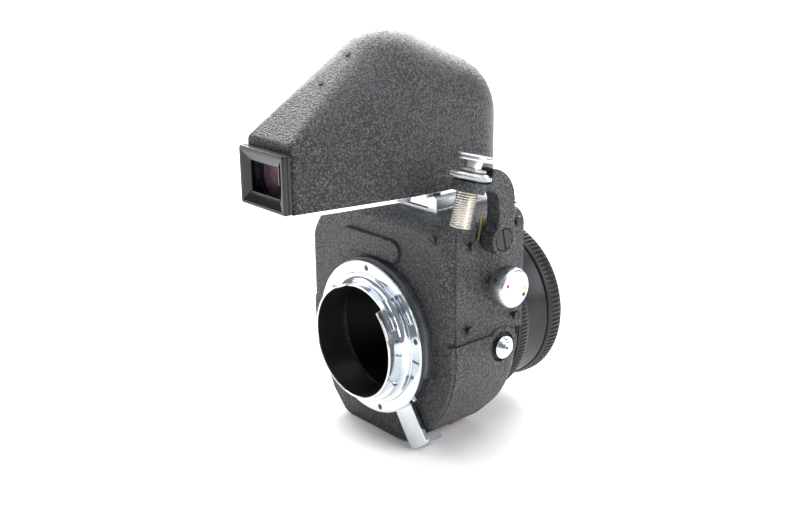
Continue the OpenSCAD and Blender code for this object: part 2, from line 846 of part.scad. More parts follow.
module finder_base() {
    color("#d3d6d9") difference() {
        union() {
            translate([0, 0, base_z0]) linear_extrude(base_z1 - base_z0) finder_plan();
            for (y = [prism_y0, prism_y1 - 3])
                translate([-window_x + 2, y, base_z1 - eps]) cube([2 * window_x - 4, 3, prism_lift]);
            translate([-rail_lip + gap, shoe_y0 + 0.8, rail_step - gap - 0.2])
                cube([2 * (rail_lip - gap), shoe_y1 - shoe_y0 - 2.6, base_z0 - rail_step + 0.6]);
            translate([-rail_in + gap, shoe_y0 + 0.8, top_z + lip_t + gap])
                cube([2 * (rail_in - gap), shoe_y1 - shoe_y0 - 2.6, rail_step - gap - top_z - lip_t - gap]);
        }
        translate([-window_x + 2, window_y0 + 2, 0]) cube([2 * window_x - 4, window_y1 - window_y0 - 4, far]);
        translate([catch_pin_x, catch_y, 0]) cylinder(r = catch_pin_r + 0.3, h = rail_step - 0.6, $fn = 32);
    }
}

// Solid form of the finder shell, rounded over the dome and the front
module finder_form(inset = 0) {
    r = rear_r - inset / 2;
    rear_x = finder_rear_w / 2 - inset - r;
    hull() {
        for (s = [-1, 1]) {
            translate([s * rear_x, -finder_back + inset + r, rear_top - inset - r]) sphere(r = r, $fn = 24);
            translate([s * rear_x, -finder_back + inset + r, base_z1]) cylinder(r = r, h = 1, $fn = 24);
            for (t = [30, 60]) {
                y = finder_front - front_arc + front_arc * cos(t);
                z = front_cz + front_arc * sin(t);
                translate([s * (finder_w / 2 - front_r), y - front_r * cos(t), z - front_r * sin(t)])
                    sphere(r = front_r - inset, $fn = 32);
            }
            translate([s * (finder_w / 2 - front_r), finder_front - front_r, base_z1])
                cylinder(r = front_r - inset, h = front_cz - base_z1, $fn = 32);
            translate([s * (finder_w / 2 - 3.2 - inset), 3, base_z1]) cylinder(r = 2, h = 24, $fn = 16);
        }
        translate([0, dome_y, dome_z]) sphere(r = dome_r - inset, $fn = 48);
    }
}

module finder_shell() {
    color("#5a5b5f") difference() {
        finder_form();
        difference() {
            finder_form(shell_wall);
            translate([-far, -far, base_z1 - 2 * far]) cube([2 * far, 2 * far, 2 * far]);
        }
        translate([-finder_rear_w / 2 + shell_wall + 0.3, 0, base_z1 - 1])
            cube([finder_rear_w - 2 * shell_wall - 0.6, finder_front - shell_wall - front_r, 3]);
        translate([-window_w / 2 - 1, -finder_back - 1, eye_z - window_h / 2 - 1])
            cube([window_w + 2, 2 * shell_wall + 2, window_h + 2]);
        finder_screw_places(0.97, 0.02);
    }
}

module finder_prism() {
    color("#cfdde0", 0.5) along_x(-14.5, 14.5) polygon([
        [prism_y0, base_z1 + prism_lift], [prism_y1, base_z1 + prism_lift], [prism_y1, base_z1 + 21],
        [25, base_z1 + 35], [11, base_z1 + 40], [3, base_z1 + 33], [3, base_z1 + 10]
    ]);
}

module field_lens() {
    color("#d5e2e4", 0.5) translate([-window_x + 1.2, window_y0 + 1.2, base_z1])
        cube([2 * window_x - 2.4, window_y1 - window_y0 - 2.4, prism_lift - 0.8]);
}

module eyepiece_tube() {
    color("#1c1c1e") translate([0, 0, eye_z])
        ring_y(eye_half_h - 0.3, eye_half_h - 1.2, -finder_back + shell_wall, -18);
}

module eyepiece_lens() {
    color("#9a8fb0", 0.6) translate([0, 0, eye_z])
        disc_y(eye_half_h - 1.2, -finder_back + shell_wall + 1.4, -finder_back + shell_wall + 4.4);
}

module eyepiece_frame() {
    y0 = -finder_back - eye_t;
    color("#26272a") difference() {
        translate([-eye_half_w, y0, eye_z - eye_half_h]) cube([2 * eye_half_w, eye_t, 2 * eye_half_h]);
        hull() {
            translate([-eye_half_w + 1.5, y0 - 0.5, eye_z - eye_half_h + 1.5])
                cube([2 * eye_half_w - 3, 0.5, 2 * eye_half_h - 3]);
            translate([-window_w / 2, y0 + 1.9, eye_z - window_h / 2]) cube([window_w, 0.1, window_h]);
        }
        translate([-window_w / 2, y0, eye_z - window_h / 2]) cube([window_w, 3 * eye_t, window_h]);
    }
}

// Two screws on the sloping top and one low on each side; sunk is the play under a screw's inner end
module finder_screw_places(r, sunk) {
    translate([0, rear_cy, rear_cz]) rotate([slope_a, 0, 0]) for (d = slope_screws)
        translate([0, d, rear_r - 1.2 - sunk]) cylinder(r = r, h = 1.45 + sunk, $fn = 24);
    for (s = [0, 1]) mirror([s, 0, 0]) translate([finder_rear_w / 2, -finder_back, base_z1 + 15])
        rotate([0, 0, -side_lean]) translate([-1.2 - sunk, 4.6, 0]) rotate([0, 90, 0])
            cylinder(r = r, h = 1.2 + sunk, $fn = 24);
}

module finder_screws() {
    color("#2b2c2f") finder_screw_places(0.95, 0);
}

// ---------- release arm ----------

module arm_outline() {
    translate([pivot_y, pivot_z]) circle(boss_r);
    translate([arm_bend_y + arm_bend_r - arm_w / 2, pivot_z]) square([arm_w, arm_bend_z - pivot_z]);
    translate([arm_bend_y, arm_bend_z]) difference() {
        circle(arm_bend_r + arm_w / 2);
        circle(arm_bend_r - arm_w / 2);
        translate([-far, -far]) square([2 * far, far]);
        translate([-far, 0]) square([far, far]);
    }
}

module release_arm() {
    reach = 6.5;
    color("#5b5c60") difference() {
        union() {
            along_x(arm_x0, arm_x1) arm_outline();
            along_x(arm_x0 + 0.3, arm_x1 - 0.3)
                translate([arm_bend_y - reach, arm_bend_z + arm_bend_r - arm_w / 2])
                    square([reach + eps, arm_w - 1.2]);
            on_plunger(eye_s0) cylinder(r = barrel_r + 1.9, h = eye_s1 - eye_s0);
            disc_x(hub_r, cam_x, arm_x0 + eps, pivot_y, pivot_z);
            translate([cam_x, pivot_y - 2, pivot_z - cam_l]) cube([cam_t, 4, cam_l]);
        }
        disc_x(pivot_screw_r + fit, 0, far, pivot_y, pivot_z);
        disc_x(pivot_head_r + 0.3, arm_x1 - 1.4, far, pivot_y, pivot_z);
        on_plunger(-1) cylinder(r = barrel_r + fit, h = 26);
        on_plunger(nut_s0 - gap) cylinder(r = nut_r + gap, h = 20);
    }
}

module arm_pivot_screw() {
    color("#3a3b3e") {
        translate([arm_x1 - 0.1, pivot_y, pivot_z]) rotate([0, 90, 0]) rotate([0, 0, 12])
            slotted_screw(pivot_head_r, 1.2, pivot_screw_r, arm_x1 - 1.3 - box_x - box_wall, 0.9);
        disc_x(pivot_thread_r, box_x, box_x + box_wall + 1, pivot_y, pivot_z);
    }
}

module arm_spring() {
    color("#b08d3c") translate([side_x + 0.75, 0, 0]) along_x(-0.3, 0.3)
        translate([pivot_y - notch_r - 0.9, side_z1 - 3]) rotate(-14) square([0.6, 9]);
}

module plunger_barrel() {
    color("#c9c6bd") on_plunger() difference() {
        union() {
            cylinder(r = barrel_r, h = barrel_top);
            translate([0, 0, nut_s1 + 0.3]) cylinder(r = 4.7, h = barrel_top - nut_s1 - 0.3);
        }
        translate([0, 0, -1]) cylinder(r = pin_r + fit, h = 40, $fn = 48);
        translate([0, 0, 14]) cylinder(r = neck_r + fit, h = 20, $fn = 64);
    }
}

module plunger_lock_nut() {
    color("#c4c5c7") on_plunger(nut_s0) difference() {
        cylinder(r = nut_r, h = nut_s1 - nut_s0);
        translate([0, 0, -1]) cylinder(r = barrel_r + fit, h = 10);
    }
}

module plunger_button() {
    color("#cfd0d2") on_plunger() {
        cylinder(r = pin_r, h = button_s, $fn = 48);
        translate([0, 0, 16.2]) cylinder(r = neck_r, h = button_s - 16.2 + eps, $fn = 64);
        translate([0, 0, button_s]) cylinder(r = button_r, h = button_t);
    }
}

// ---------- controls ----------

module knob() {
    color("#dfe1e4") difference() {
        union() {
            disc_x(knob_r, knob_x0, knob_x1 - 0.4, knob_y, knob_z);
            disc_x(knob_r - 0.35, knob_x1 - 0.4 - eps, knob_x1, knob_y, knob_z);
        }
        disc_x(knob_shaft_r, 0, knob_x1 - 1.5, knob_y, knob_z);
        translate([(knob_x0 + knob_x1) / 2 - 0.4, knob_y, knob_z]) rotate([60, 0, 0])
            translate([0, 0, knob_shaft_r]) cylinder(r = 0.9, h = knob_r, $fn = 24);
    }
}

module knob_shaft() {
    color("#9fa2a6") disc_x(knob_shaft_r, cover_right - wall - 5, knob_x1 - 1.5, knob_y, knob_z);
}

module knob_set_screw() {
    color("#3a3b3e") translate([(knob_x0 + knob_x1) / 2 - 0.4, knob_y, knob_z]) rotate([60, 0, 0])
        translate([0, 0, knob_r - 0.35]) slotted_screw(0.87, 0.9, 0.8, knob_r - knob_shaft_r - 1.4, 0.3);
}

module knob_dots() {
    color("#c3202b") for (p = [[-3.64, 1.71], [4.53, -0.64], [3.93, -2.71]])
        disc_x(0.62, knob_x1, knob_x1 + 0.08, knob_y + p[0], knob_z + p[1]);
}

lower_housing();
rear_plate();
upper_cover();
mirror_box();
side_cover();
side_cover_screws();
rear_screw();
blank_plate();
backing_ring();
rear_flange();
flange_screws();
flange_stop();
bayonet_ring();
lock_lever();
red_index();
front_flange();
front_flange_screws();
lens_lock_pin();
lens_release_button();
mirror_frame();
mirror_glass();
mirror_shaft();
mirror_crank();
screen_frame();
focusing_screen();
finder_shoe();
finder_catch();
finder_base();
finder_shell();
finder_prism();
field_lens();
eyepiece_tube();
eyepiece_lens();
eyepiece_frame();
finder_screws();
release_arm();
arm_pivot_screw();
arm_spring();
plunger_barrel();
plunger_lock_nut();
plunger_button();
knob();
knob_shaft();
knob_set_screw();
knob_dots();
focus_base();
focus_grip_ring();
focus_barrel();
focus_ring();
lens_seat();
focus_key();
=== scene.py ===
import json
import math

import bmesh
import bpy
import numpy as np
from mathutils import Matrix, Vector


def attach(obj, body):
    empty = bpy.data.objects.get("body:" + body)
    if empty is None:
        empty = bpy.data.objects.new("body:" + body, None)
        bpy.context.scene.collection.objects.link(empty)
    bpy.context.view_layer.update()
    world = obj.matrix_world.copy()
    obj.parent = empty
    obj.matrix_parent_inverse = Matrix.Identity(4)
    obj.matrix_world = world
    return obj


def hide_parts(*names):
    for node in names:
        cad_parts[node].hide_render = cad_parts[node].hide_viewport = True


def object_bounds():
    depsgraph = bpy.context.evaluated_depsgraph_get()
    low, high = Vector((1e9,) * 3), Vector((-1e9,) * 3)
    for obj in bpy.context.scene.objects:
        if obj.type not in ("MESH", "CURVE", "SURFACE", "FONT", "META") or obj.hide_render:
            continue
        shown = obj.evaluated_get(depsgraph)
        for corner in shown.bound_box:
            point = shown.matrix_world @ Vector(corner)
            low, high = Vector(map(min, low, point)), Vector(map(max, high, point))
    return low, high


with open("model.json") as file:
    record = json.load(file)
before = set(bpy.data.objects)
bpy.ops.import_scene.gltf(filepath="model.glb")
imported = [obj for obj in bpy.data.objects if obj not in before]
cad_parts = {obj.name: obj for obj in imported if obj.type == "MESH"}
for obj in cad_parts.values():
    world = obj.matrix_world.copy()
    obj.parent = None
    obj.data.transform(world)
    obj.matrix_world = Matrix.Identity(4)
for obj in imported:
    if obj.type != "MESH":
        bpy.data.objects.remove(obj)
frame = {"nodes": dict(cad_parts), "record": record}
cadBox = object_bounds()
cadNodes = frame["nodes"]
print("frame loaded:", len(cadNodes), "nodes")

mm = 0.001
tau = 2 * math.pi


# sRGB hex to the linear colour that a shader takes
def linear(hexColour):
    parts = [int(hexColour[i:i + 2], 16) / 255 for i in (1, 3, 5)]
    return [c / 12.92 if c <= 0.04045 else ((c + 0.055) / 1.055) ** 2.4 for c in parts] + [1.0]


# adds one node, with its settings and with a value or a link on each input
def addNode(tree, kind, inputs=None, **settings):
    made = tree.nodes.new(kind)
    for key, value in settings.items():
        setattr(made, key, value)
    for key, value in (inputs or {}).items():
        if isinstance(value, bpy.types.NodeSocket):
            tree.links.new(value, made.inputs[key])
        else:
            made.inputs[key].default_value = value
    return made


def newMaterial(name, **shaderInputs):
    material = bpy.data.materials.new(name)
    material.use_nodes = True
    tree = material.node_tree
    shader = tree.nodes["Principled BSDF"]
    for key, value in shaderInputs.items():
        shader.inputs[key.replace("_", " ")].default_value = value
    where = addNode(tree, "ShaderNodeTexCoord").outputs["Object"]
    return material, tree, shader, where


# Wrinkle enamel on cast aluminium: stoved paint that shrinks into a skin of small ridges.  Its colour is
# near-black in the hollows as painted shade, soft grey on each ridge as a painted highlight of its gleam, and
# bare metal where edges have rubbed.
wrinkleLook = {
    "ridgeMm": 0.75,   # one ridge to the next; the real one is nearer 0.5, drawn coarser so that it shows
    "heightMm": 0.26,
    # the near-black and the light grey here are painted shade in the hollows and a painted highlight on the
    # ridges
    "paintedPitShade": "#101113", "skin": "#1f2023", "paintedCrestHighlight": "#66686b", "faded": "#383a3d", "worn": "#b8b8b7",
    "edgeMm": 0.6, "roughPit": 0.5, "roughCrest": 0.24,
}


def wrinkleEnamel(name, look):
    material, tree, shader, where = newMaterial(name, IOR=1.5)
    scale = 1 / (look["ridgeMm"] * mm)
    warp = addNode(tree, "ShaderNodeTexNoise", {"Vector": where, "Scale": scale * 0.7, "Detail": 1.0})
    bend = addNode(tree, "ShaderNodeVectorMath",
                   {0: warp.outputs["Color"], "Scale": look["ridgeMm"] * mm * 1.2}, operation="SCALE")
    bent = addNode(tree, "ShaderNodeVectorMath", {0: where, 1: bend.outputs["Vector"]}, operation="ADD")
    cells = addNode(tree, "ShaderNodeTexVoronoi",
                    {"Vector": bent.outputs["Vector"], "Scale": scale, "Smoothness": 0.3},
                    feature="SMOOTH_F1")
    grain = addNode(tree, "ShaderNodeTexNoise",
                    {"Vector": where, "Scale": scale * 1.5, "Detail": 3.0, "Roughness": 0.65,
                     "Distortion": 0.4})
    rise = addNode(tree, "ShaderNodeMath",
                   {0: cells.outputs["Distance"], 1: -0.8, 2: grain.outputs["Fac"]}, operation="MULTIPLY_ADD")
    height = addNode(tree, "ShaderNodeMapRange", {0: rise.outputs["Value"], 1: -0.2, 2: 0.4}).outputs[0]
    # low and high share the colour out by ridge height: painted shade in the hollows, a painted highlight on
    # the ridges
    low = addNode(tree, "ShaderNodeMapRange", {0: height, 1: 0.0, 2: 0.55}).outputs[0]
    high = addNode(tree, "ShaderNodeMapRange", {0: height, 1: 0.55, 2: 1.0}).outputs[0]
    dark = addNode(tree, "ShaderNodeMix", {0: low, 6: linear(look["paintedPitShade"]), 7: linear(look["skin"])},
                   data_type="RGBA")
    tone = addNode(tree, "ShaderNodeMix", {0: high, 6: dark.outputs[2], 7: linear(look["paintedCrestHighlight"])},
                   data_type="RGBA")
    # a broad, faint cloud of handling keeps large faces from looking flat
    cloud = addNode(tree, "ShaderNodeTexNoise", {"Vector": where, "Scale": 1 / (16 * mm), "Detail": 3.0})
    handled = addNode(tree, "ShaderNodeMapRange", {0: cloud.outputs["Fac"], 1: 0.45, 2: 0.75,
                                                   4: 0.35}).outputs[0]
    faded = addNode(tree, "ShaderNodeMix", {0: handled, 6: tone.outputs[2], 7: linear(look["faded"])},
                    data_type="RGBA")
    # rubbed edges: where the rounded normal leaves the true one, broken up by a finer noise
    soft = addNode(tree, "ShaderNodeBevel", {"Radius": look["edgeMm"] * mm}, samples=6)
    flat = addNode(tree, "ShaderNodeNewGeometry")
    lean = addNode(tree, "ShaderNodeVectorMath",
                   {0: soft.outputs["Normal"], 1: flat.outputs["Normal"]}, operation="DOT_PRODUCT")
    edge = addNode(tree, "ShaderNodeMapRange", {0: lean.outputs["Value"], 1: 0.95, 2: 0.78}).outputs[0]
    rub = addNode(tree, "ShaderNodeTexNoise", {"Vector": where, "Scale": 1 / (4 * mm), "Detail": 5.0,
                                               "Roughness": 0.75})
    patch = addNode(tree, "ShaderNodeMapRange", {0: rub.outputs["Fac"], 1: 0.52, 2: 0.7, 4: 0.7}).outputs[0]
    wear = addNode(tree, "ShaderNodeMath", {0: edge, 1: patch}, operation="MULTIPLY").outputs["Value"]
    worn = addNode(tree, "ShaderNodeMix", {0: wear, 6: faded.outputs[2], 7: linear(look["worn"])},
                   data_type="RGBA")
    gloss = addNode(tree, "ShaderNodeMapRange", {0: height, 3: look["roughPit"], 4: look["roughCrest"]})
    bump = addNode(tree, "ShaderNodeBump", {
        "Strength": 1.0, "Distance": look["heightMm"] * mm, "Height": height,
        "Normal": soft.outputs["Normal"],
    })
    tree.links.new(worn.outputs[2], shader.inputs["Base Color"])
    tree.links.new(gloss.outputs[0], shader.inputs["Roughness"])
    tree.links.new(bump.outputs["Normal"], shader.inputs["Normal"])
    return material


# Every other finish, each from its real surface: plated brass, turned steel, anodised or painted
# aluminium, moulded plastic.  grainMm is the size of the tool, polish or powder marks.
def plainFinish(name, look):
    material, tree, shader, where = newMaterial(name, Metallic=look.get("metallic", 0.0))
    cloud = addNode(tree, "ShaderNodeTexNoise",
                    {"Vector": where, "Scale": 1 / (look.get("cloudMm", 5) * mm), "Detail": 4.0,
                     "Roughness": 0.6})
    grain = addNode(tree, "ShaderNodeTexNoise",
                    {"Vector": where, "Scale": 1 / (look["grainMm"] * mm), "Detail": 3.0, "Roughness": 0.6})
    share = addNode(tree, "ShaderNodeMapRange", {0: cloud.outputs["Fac"], 1: 0.4, 2: 0.72,
                                                 4: look.get("spread", 0.6)})
    tone = addNode(tree, "ShaderNodeMix",
                   {0: share.outputs[0], 6: linear(look["colour"]), 7: linear(look["second"])},
                   data_type="RGBA")
    gloss = addNode(tree, "ShaderNodeMapRange", {
        0: cloud.outputs["Fac"], 1: 0.3, 2: 0.7, 3: look["rough"][0], 4: look["rough"][1]})
    soft = addNode(tree, "ShaderNodeBevel", {"Radius": look.get("edgeMm", 0.25) * mm}, samples=6)
    flat = addNode(tree, "ShaderNodeNewGeometry")
    lean = addNode(tree, "ShaderNodeVectorMath",
                   {0: soft.outputs["Normal"], 1: flat.outputs["Normal"]}, operation="DOT_PRODUCT")
    edge = addNode(tree, "ShaderNodeMapRange",
                   {0: lean.outputs["Value"], 1: 0.96, 2: 0.75, 4: look.get("wear", 0.35)}).outputs[0]
    worn = addNode(tree, "ShaderNodeMix", {0: edge, 6: tone.outputs[2], 7: linear(look["edge"])},
                   data_type="RGBA")
    bump = addNode(tree, "ShaderNodeBump", {
        "Strength": 0.5, "Distance": look["liftMm"] * mm, "Height": grain.outputs["Fac"],
        "Normal": soft.outputs["Normal"],
    })
    tree.links.new(worn.outputs[2], shader.inputs["Base Color"])
    tree.links.new(gloss.outputs[0], shader.inputs["Roughness"])
    tree.links.new(bump.outputs["Normal"], shader.inputs["Normal"])
    return material


# coated optical glass: clear, with a coloured gleam from its coating
def coatedGlass(name, look):
    material, tree, shader, where = newMaterial(
        name, Roughness=0.04, IOR=1.52, Transmission_Weight=look["clear"], Coat_Weight=1.0,
        Coat_Roughness=0.02)
    haze = addNode(tree, "ShaderNodeTexNoise", {"Vector": where, "Scale": 1 / (3 * mm), "Detail": 2.0})
    share = addNode(tree, "ShaderNodeMapRange", {0: haze.outputs["Fac"], 1: 0.35, 2: 0.7})
    tone = addNode(tree, "ShaderNodeMix",
                   {0: share.outputs[0], 6: linear(look["tint"]), 7: linear(look["coating"])},
                   data_type="RGBA")
    bump = addNode(tree, "ShaderNodeBump", {"Strength": 0.1, "Distance": 0.002 * mm,
                                            "Height": haze.outputs["Fac"]})
    tree.links.new(tone.outputs[2], shader.inputs["Base Color"])
    tree.links.new(bump.outputs["Normal"], shader.inputs["Normal"])
    return material


castEnamel = wrinkleEnamel("wrinkleEnamel", wrinkleLook)
finishes = {
    # nickel-chrome plate, polished: a mirror with faint rub marks
    "chromePlate": {"colour": "#dfe4ea", "second": "#bfc2c6", "edge": "#f2f4f6", "metallic": 1.0,
                    "rough": (0.06, 0.14), "grainMm": 0.5, "liftMm": 0.003, "spread": 0.5},
    # satin chrome: fine blasting under the plate, so highlights spread
    "satinChrome": {"colour": "#d9dde2", "second": "#c2c5c9", "edge": "#f2f3f4", "metallic": 1.0,
                    "rough": (0.22, 0.34), "grainMm": 0.15, "liftMm": 0.008},
    # turned steel, slightly yellowed by oil
    "turnedSteel": {"colour": "#c6c2b8", "second": "#9d988c", "edge": "#ece9e2", "metallic": 1.0,
                    "rough": (0.24, 0.38), "grainMm": 0.12, "liftMm": 0.01},
    # drawn brass wire, dulled
    "springBrass": {"colour": "#b39a64", "second": "#8d784a", "edge": "#dcc48c", "metallic": 1.0,
                    "rough": (0.28, 0.42), "grainMm": 0.15, "liftMm": 0.006},
    # screws painted over with the housing, so only their slots stand out
    "paintedScrew": {"colour": "#1e1f22", "second": "#313336", "edge": "#9a9b9d", "metallic": 0.2,
                     "rough": (0.36, 0.5), "grainMm": 0.25, "liftMm": 0.03, "wear": 0.5},
    "plateScrew": {"colour": "#55585c", "second": "#3a3c40", "edge": "#a5a7aa", "metallic": 0.9,
                   "rough": (0.25, 0.4), "grainMm": 0.15, "liftMm": 0.01},
    "greyAluminium": {"colour": "#5a5d61", "second": "#787b7f", "edge": "#9a9da1", "metallic": 0.7,
                      "rough": (0.4, 0.52), "grainMm": 0.12, "liftMm": 0.01},
    # flat black paint against stray light
    "flatBlack": {"colour": "#0b0a0a", "second": "#171615", "edge": "#2a2927", "rough": (0.6, 0.75),
                  "grainMm": 0.12, "liftMm": 0.01},
    "blackenedBore": {"colour": "#1e1b19", "second": "#2d2926", "edge": "#4a4540", "metallic": 0.3,
                      "rough": (0.42, 0.55), "grainMm": 0.3, "liftMm": 0.006},
    # black anodised aluminium, turned: satin, greying on its edges
    "blackAnodised": {"colour": "#1e1f22", "second": "#2c2d30", "edge": "#606266", "metallic": 0.4,
                      "rough": (0.32, 0.44), "grainMm": 0.12, "liftMm": 0.008},
    # moulded black plastic, glossy
    "mouldedPlastic": {"colour": "#050506", "second": "#101214", "edge": "#3c3e40", "rough": (0.10, 0.18),
                       "grainMm": 0.6, "liftMm": 0.004, "edgeMm": 0.35, "wear": 0.25},
    "redEnamel": {"colour": "#b8142a", "second": "#cc2a3c", "edge": "#d8505c", "rough": (0.28, 0.36),
                  "grainMm": 0.3, "liftMm": 0.01},
    "yellowEnamel": {"colour": "#e6c81e", "second": "#efd84a", "edge": "#f2e27e", "rough": (0.28, 0.36),
                     "grainMm": 0.3, "liftMm": 0.01},
    "blackEnamel": {"colour": "#131313", "second": "#202020", "edge": "#3a3a3a", "rough": (0.28, 0.36),
                    "grainMm": 0.3, "liftMm": 0.01},
    # silvered front-surface mirror
    "silvered": {"colour": "#e9edf0", "second": "#dfe4e8", "edge": "#f5f7f8", "metallic": 1.0,
                 "rough": (0.02, 0.05), "grainMm": 1.0, "liftMm": 0.001},
}
made = {name: plainFinish(name, look) for name, look in finishes.items()}
eyeGlass = coatedGlass("coatedEyeGlass", {"tint": "#6a5c74", "coating": "#9a6e7c", "clear": 0.25})
clearGlass = coatedGlass("groundGlass", {"tint": "#b9c2c2", "coating": "#d6dcda", "clear": 0.6})
print("materials made:", len(made) + 3)

slotLook = {
    "wrinkle_black": castEnamel, "chrome": made["chromePlate"], "satin_steel": made["turnedSteel"],
    "dark_screw": made["paintedScrew"], "grey_ring": made["greyAluminium"], "flat_black": made["flatBlack"],
    "black_anodised": made["blackAnodised"], "gloss_black": made["mouldedPlastic"],
    "brass": made["springBrass"], "paint_dots": made["redEnamel"], "mirror_glass": made["silvered"],
    "optical_glass": clearGlass,
}
nodeLook = {
    "finder_shoe": made["satinChrome"], "finder_base": made["chromePlate"], "eyepiece_lens": eyeGlass,
    "flange_screws": made["plateScrew"], "front_flange_screws": made["plateScrew"],
}
for entry in frame["record"]["subparts"]:
    mesh = cadNodes[entry["node"]].data
    mesh.materials.clear()
    mesh.materials.append(nodeLook.get(entry["node"], slotLook[entry["material_slot"]]))


def newPiece(name, mesh, material, body, replaced=()):
    piece = bpy.data.objects.new(name, mesh)
    bpy.context.scene.collection.objects.link(piece)
    if not mesh.materials:
        mesh.materials.append(material)
    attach(piece, body)
    if replaced:
        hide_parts(*replaced)
    return piece


# merges doubles, turns every face outwards and shades it smooth up to an angle
def finishMesh(mesh, sharpDeg=32):
    form = bmesh.new()
    form.from_mesh(mesh)
    bmesh.ops.remove_doubles(form, verts=form.verts, dist=1e-6)
    bmesh.ops.dissolve_degenerate(form, edges=form.edges, dist=1e-7)
    bmesh.ops.recalc_face_normals(form, faces=form.faces)
    form.to_mesh(mesh)
    form.free()
    mesh.polygons.foreach_set("use_smooth", [True] * len(mesh.polygons))
    mesh.set_sharp_from_angle(angle=math.radians(sharpDeg))
    return mesh


# turns a closed profile of (radius, height) about an axis; shape(angle, points) may change it
def turnedMesh(name, profile, place, count=192, shape=None, sharpDeg=32):
    points = np.array(profile, float)
    rings = []
    for k in range(count):
        angle = tau * k / count
        ring = points.copy() if shape is None else shape(angle, points.copy())
        rings.append(np.column_stack([
            ring[:, 0] * math.cos(angle), ring[:, 0] * math.sin(angle), ring[:, 1],
        ]))
    n = len(points)
    faces = []
    for k in range(count):
        a, b = k * n, (k + 1) % count * n
        for i in range(n):
            j = (i + 1) % n
            faces.append((a + i, b + i, b + j, a + j))
    mesh = bpy.data.meshes.new(name)
    mesh.from_pydata((np.concatenate(rings) * mm).tolist(), [], faces)
    mesh.transform(place)
    return finishMesh(mesh, sharpDeg)


# a frame whose height runs along a direction from a point in millimetres
def facing(x, y, z, direction):
    turn = Vector(direction).to_track_quat("Z", "Y").to_matrix().to_4x4()
    return Matrix.Translation(Vector((x, y, z)) * mm) @ turn


# height along the optical axis; angle 0 is to the right and 90 is up, as the lugs are counted
opticalAxis = Matrix(((1, 0, 0, 0), (0, 0, 1, 0), (0, 1, 0, 0), (0, 0, 0, 1)))


# closes a profile's corners with small rounds, each (radius, height, cut)
def eased(corners):
    out = []
    for i, (r, h, cut) in enumerate(corners):
        if not cut:
            out.append((r, h))
            continue
        ends = []
        for other in (corners[i - 1], corners[(i + 1) % len(corners)]):
            step = Vector((other[0] - r, other[1] - h))
            ends.append(Vector((r, h)) + step.normalized() * min(cut, step.length * 0.45))
        middle = (ends[0] + ends[1]) * 0.36 + Vector((r, h)) * 0.28
        out += [tuple(ends[0]), tuple(middle), tuple(ends[1])]
    return out


# A ring of ribs along a turned piece: each rib is a small bar with a narrower crest
def ribTree():
    tree = bpy.data.node_groups.new("ribRing", "GeometryNodeTree")
    for label, kind, value in [
        ("Rib count", "NodeSocketInt", 60), ("Radius", "NodeSocketFloat", 0.01),
        ("Length", "NodeSocketFloat", 0.005), ("Width", "NodeSocketFloat", 0.001),
        ("Height", "NodeSocketFloat", 0.0005), ("Finish", "NodeSocketMaterial", None),
    ]:
        made = tree.interface.new_socket(label, in_out="INPUT", socket_type=kind)
        if value is not None:
            made.default_value = value
    tree.interface.new_socket("Geometry", in_out="OUTPUT", socket_type="NodeSocketGeometry")
    given = addNode(tree, "NodeGroupInput").outputs
    ring = addNode(tree, "GeometryNodeMeshCircle", {"Vertices": given["Rib count"],
                                                    "Radius": given["Radius"]})
    # the bar's root sits 0.4 of its height under the ring so that it stays joined to the body
    bar = addNode(tree, "GeometryNodeMeshCone", {
        "Vertices": 4, "Side Segments": 1, "Radius Top": 0.42, "Radius Bottom": 0.72, "Depth": 1.0,
    })
    squared = addNode(tree, "GeometryNodeTransform",
                      {"Geometry": bar.outputs["Mesh"], "Rotation": (0, 0, math.pi / 4)})
    grow = addNode(tree, "ShaderNodeCombineXYZ",
                   {"X": given["Width"], "Y": given["Length"], "Z": given["Height"]})
    sized = addNode(tree, "GeometryNodeTransform", {
        "Geometry": squared.outputs["Geometry"], "Scale": grow.outputs["Vector"],
    })
    # turn each bar so that its crest faces out and its length runs along the axis
    outward = addNode(tree, "GeometryNodeInputPosition")
    lean = addNode(tree, "FunctionNodeAlignRotationToVector", {"Vector": outward.outputs["Position"]},
                   axis="Z")
    axisUp = addNode(tree, "FunctionNodeAlignRotationToVector",
                     {"Rotation": lean.outputs["Rotation"], "Vector": (0, 0, 1)}, axis="Y", pivot_axis="Z")
    placed = addNode(tree, "GeometryNodeInstanceOnPoints", {
        "Points": ring.outputs["Mesh"], "Instance": sized.outputs["Geometry"],
        "Rotation": axisUp.outputs["Rotation"],
    })
    real = addNode(tree, "GeometryNodeRealizeInstances", {"Geometry": placed.outputs["Instances"]})
    dressed = addNode(tree, "GeometryNodeSetMaterial",
                      {"Geometry": real.outputs["Geometry"], "Material": given["Finish"]})
    addNode(tree, "NodeGroupOutput", {"Geometry": dressed.outputs["Geometry"]})
    return tree


ribRing = ribTree()


# runs the rib tree on an empty mesh and gives back the plain mesh it makes
def grownRibs(name, values):
    seed = bpy.data.objects.new(name, bpy.data.meshes.new(name))
    bpy.context.scene.collection.objects.link(seed)
    modifier = seed.modifiers.new("ribs", "NODES")
    modifier.node_group = ribRing
    for item in ribRing.interface.items_tree:
        if item.in_out == "INPUT" and item.name in values:
            modifier[item.identifier] = values[item.name]
    mesh = bpy.data.meshes.new_from_object(seed.evaluated_get(bpy.context.evaluated_depsgraph_get()))
    bpy.data.objects.remove(seed)
    return mesh


# puts a ring of ribs on a turned body and joins the two into one mesh
def ribbed(name, body, look, place, size, core, length, middle):
    ribs = grownRibs(name + "Ribs", {
        "Rib count": size["ribs"], "Radius": (core - size["ribHeight"] * 0.1) * mm, "Length": length * mm,
        "Width": size["ribWidth"] * mm, "Height": size["ribHeight"] * mm, "Finish": look,
    })
    ribs.transform(place @ Matrix.Translation((0, 0, middle * mm)))
    form = bmesh.new()
    form.from_mesh(body)
    form.from_mesh(ribs)
    mesh = bpy.data.meshes.new(name)
    form.to_mesh(mesh)
    form.free()
    mesh.materials.append(look)
    return finishMesh(mesh)


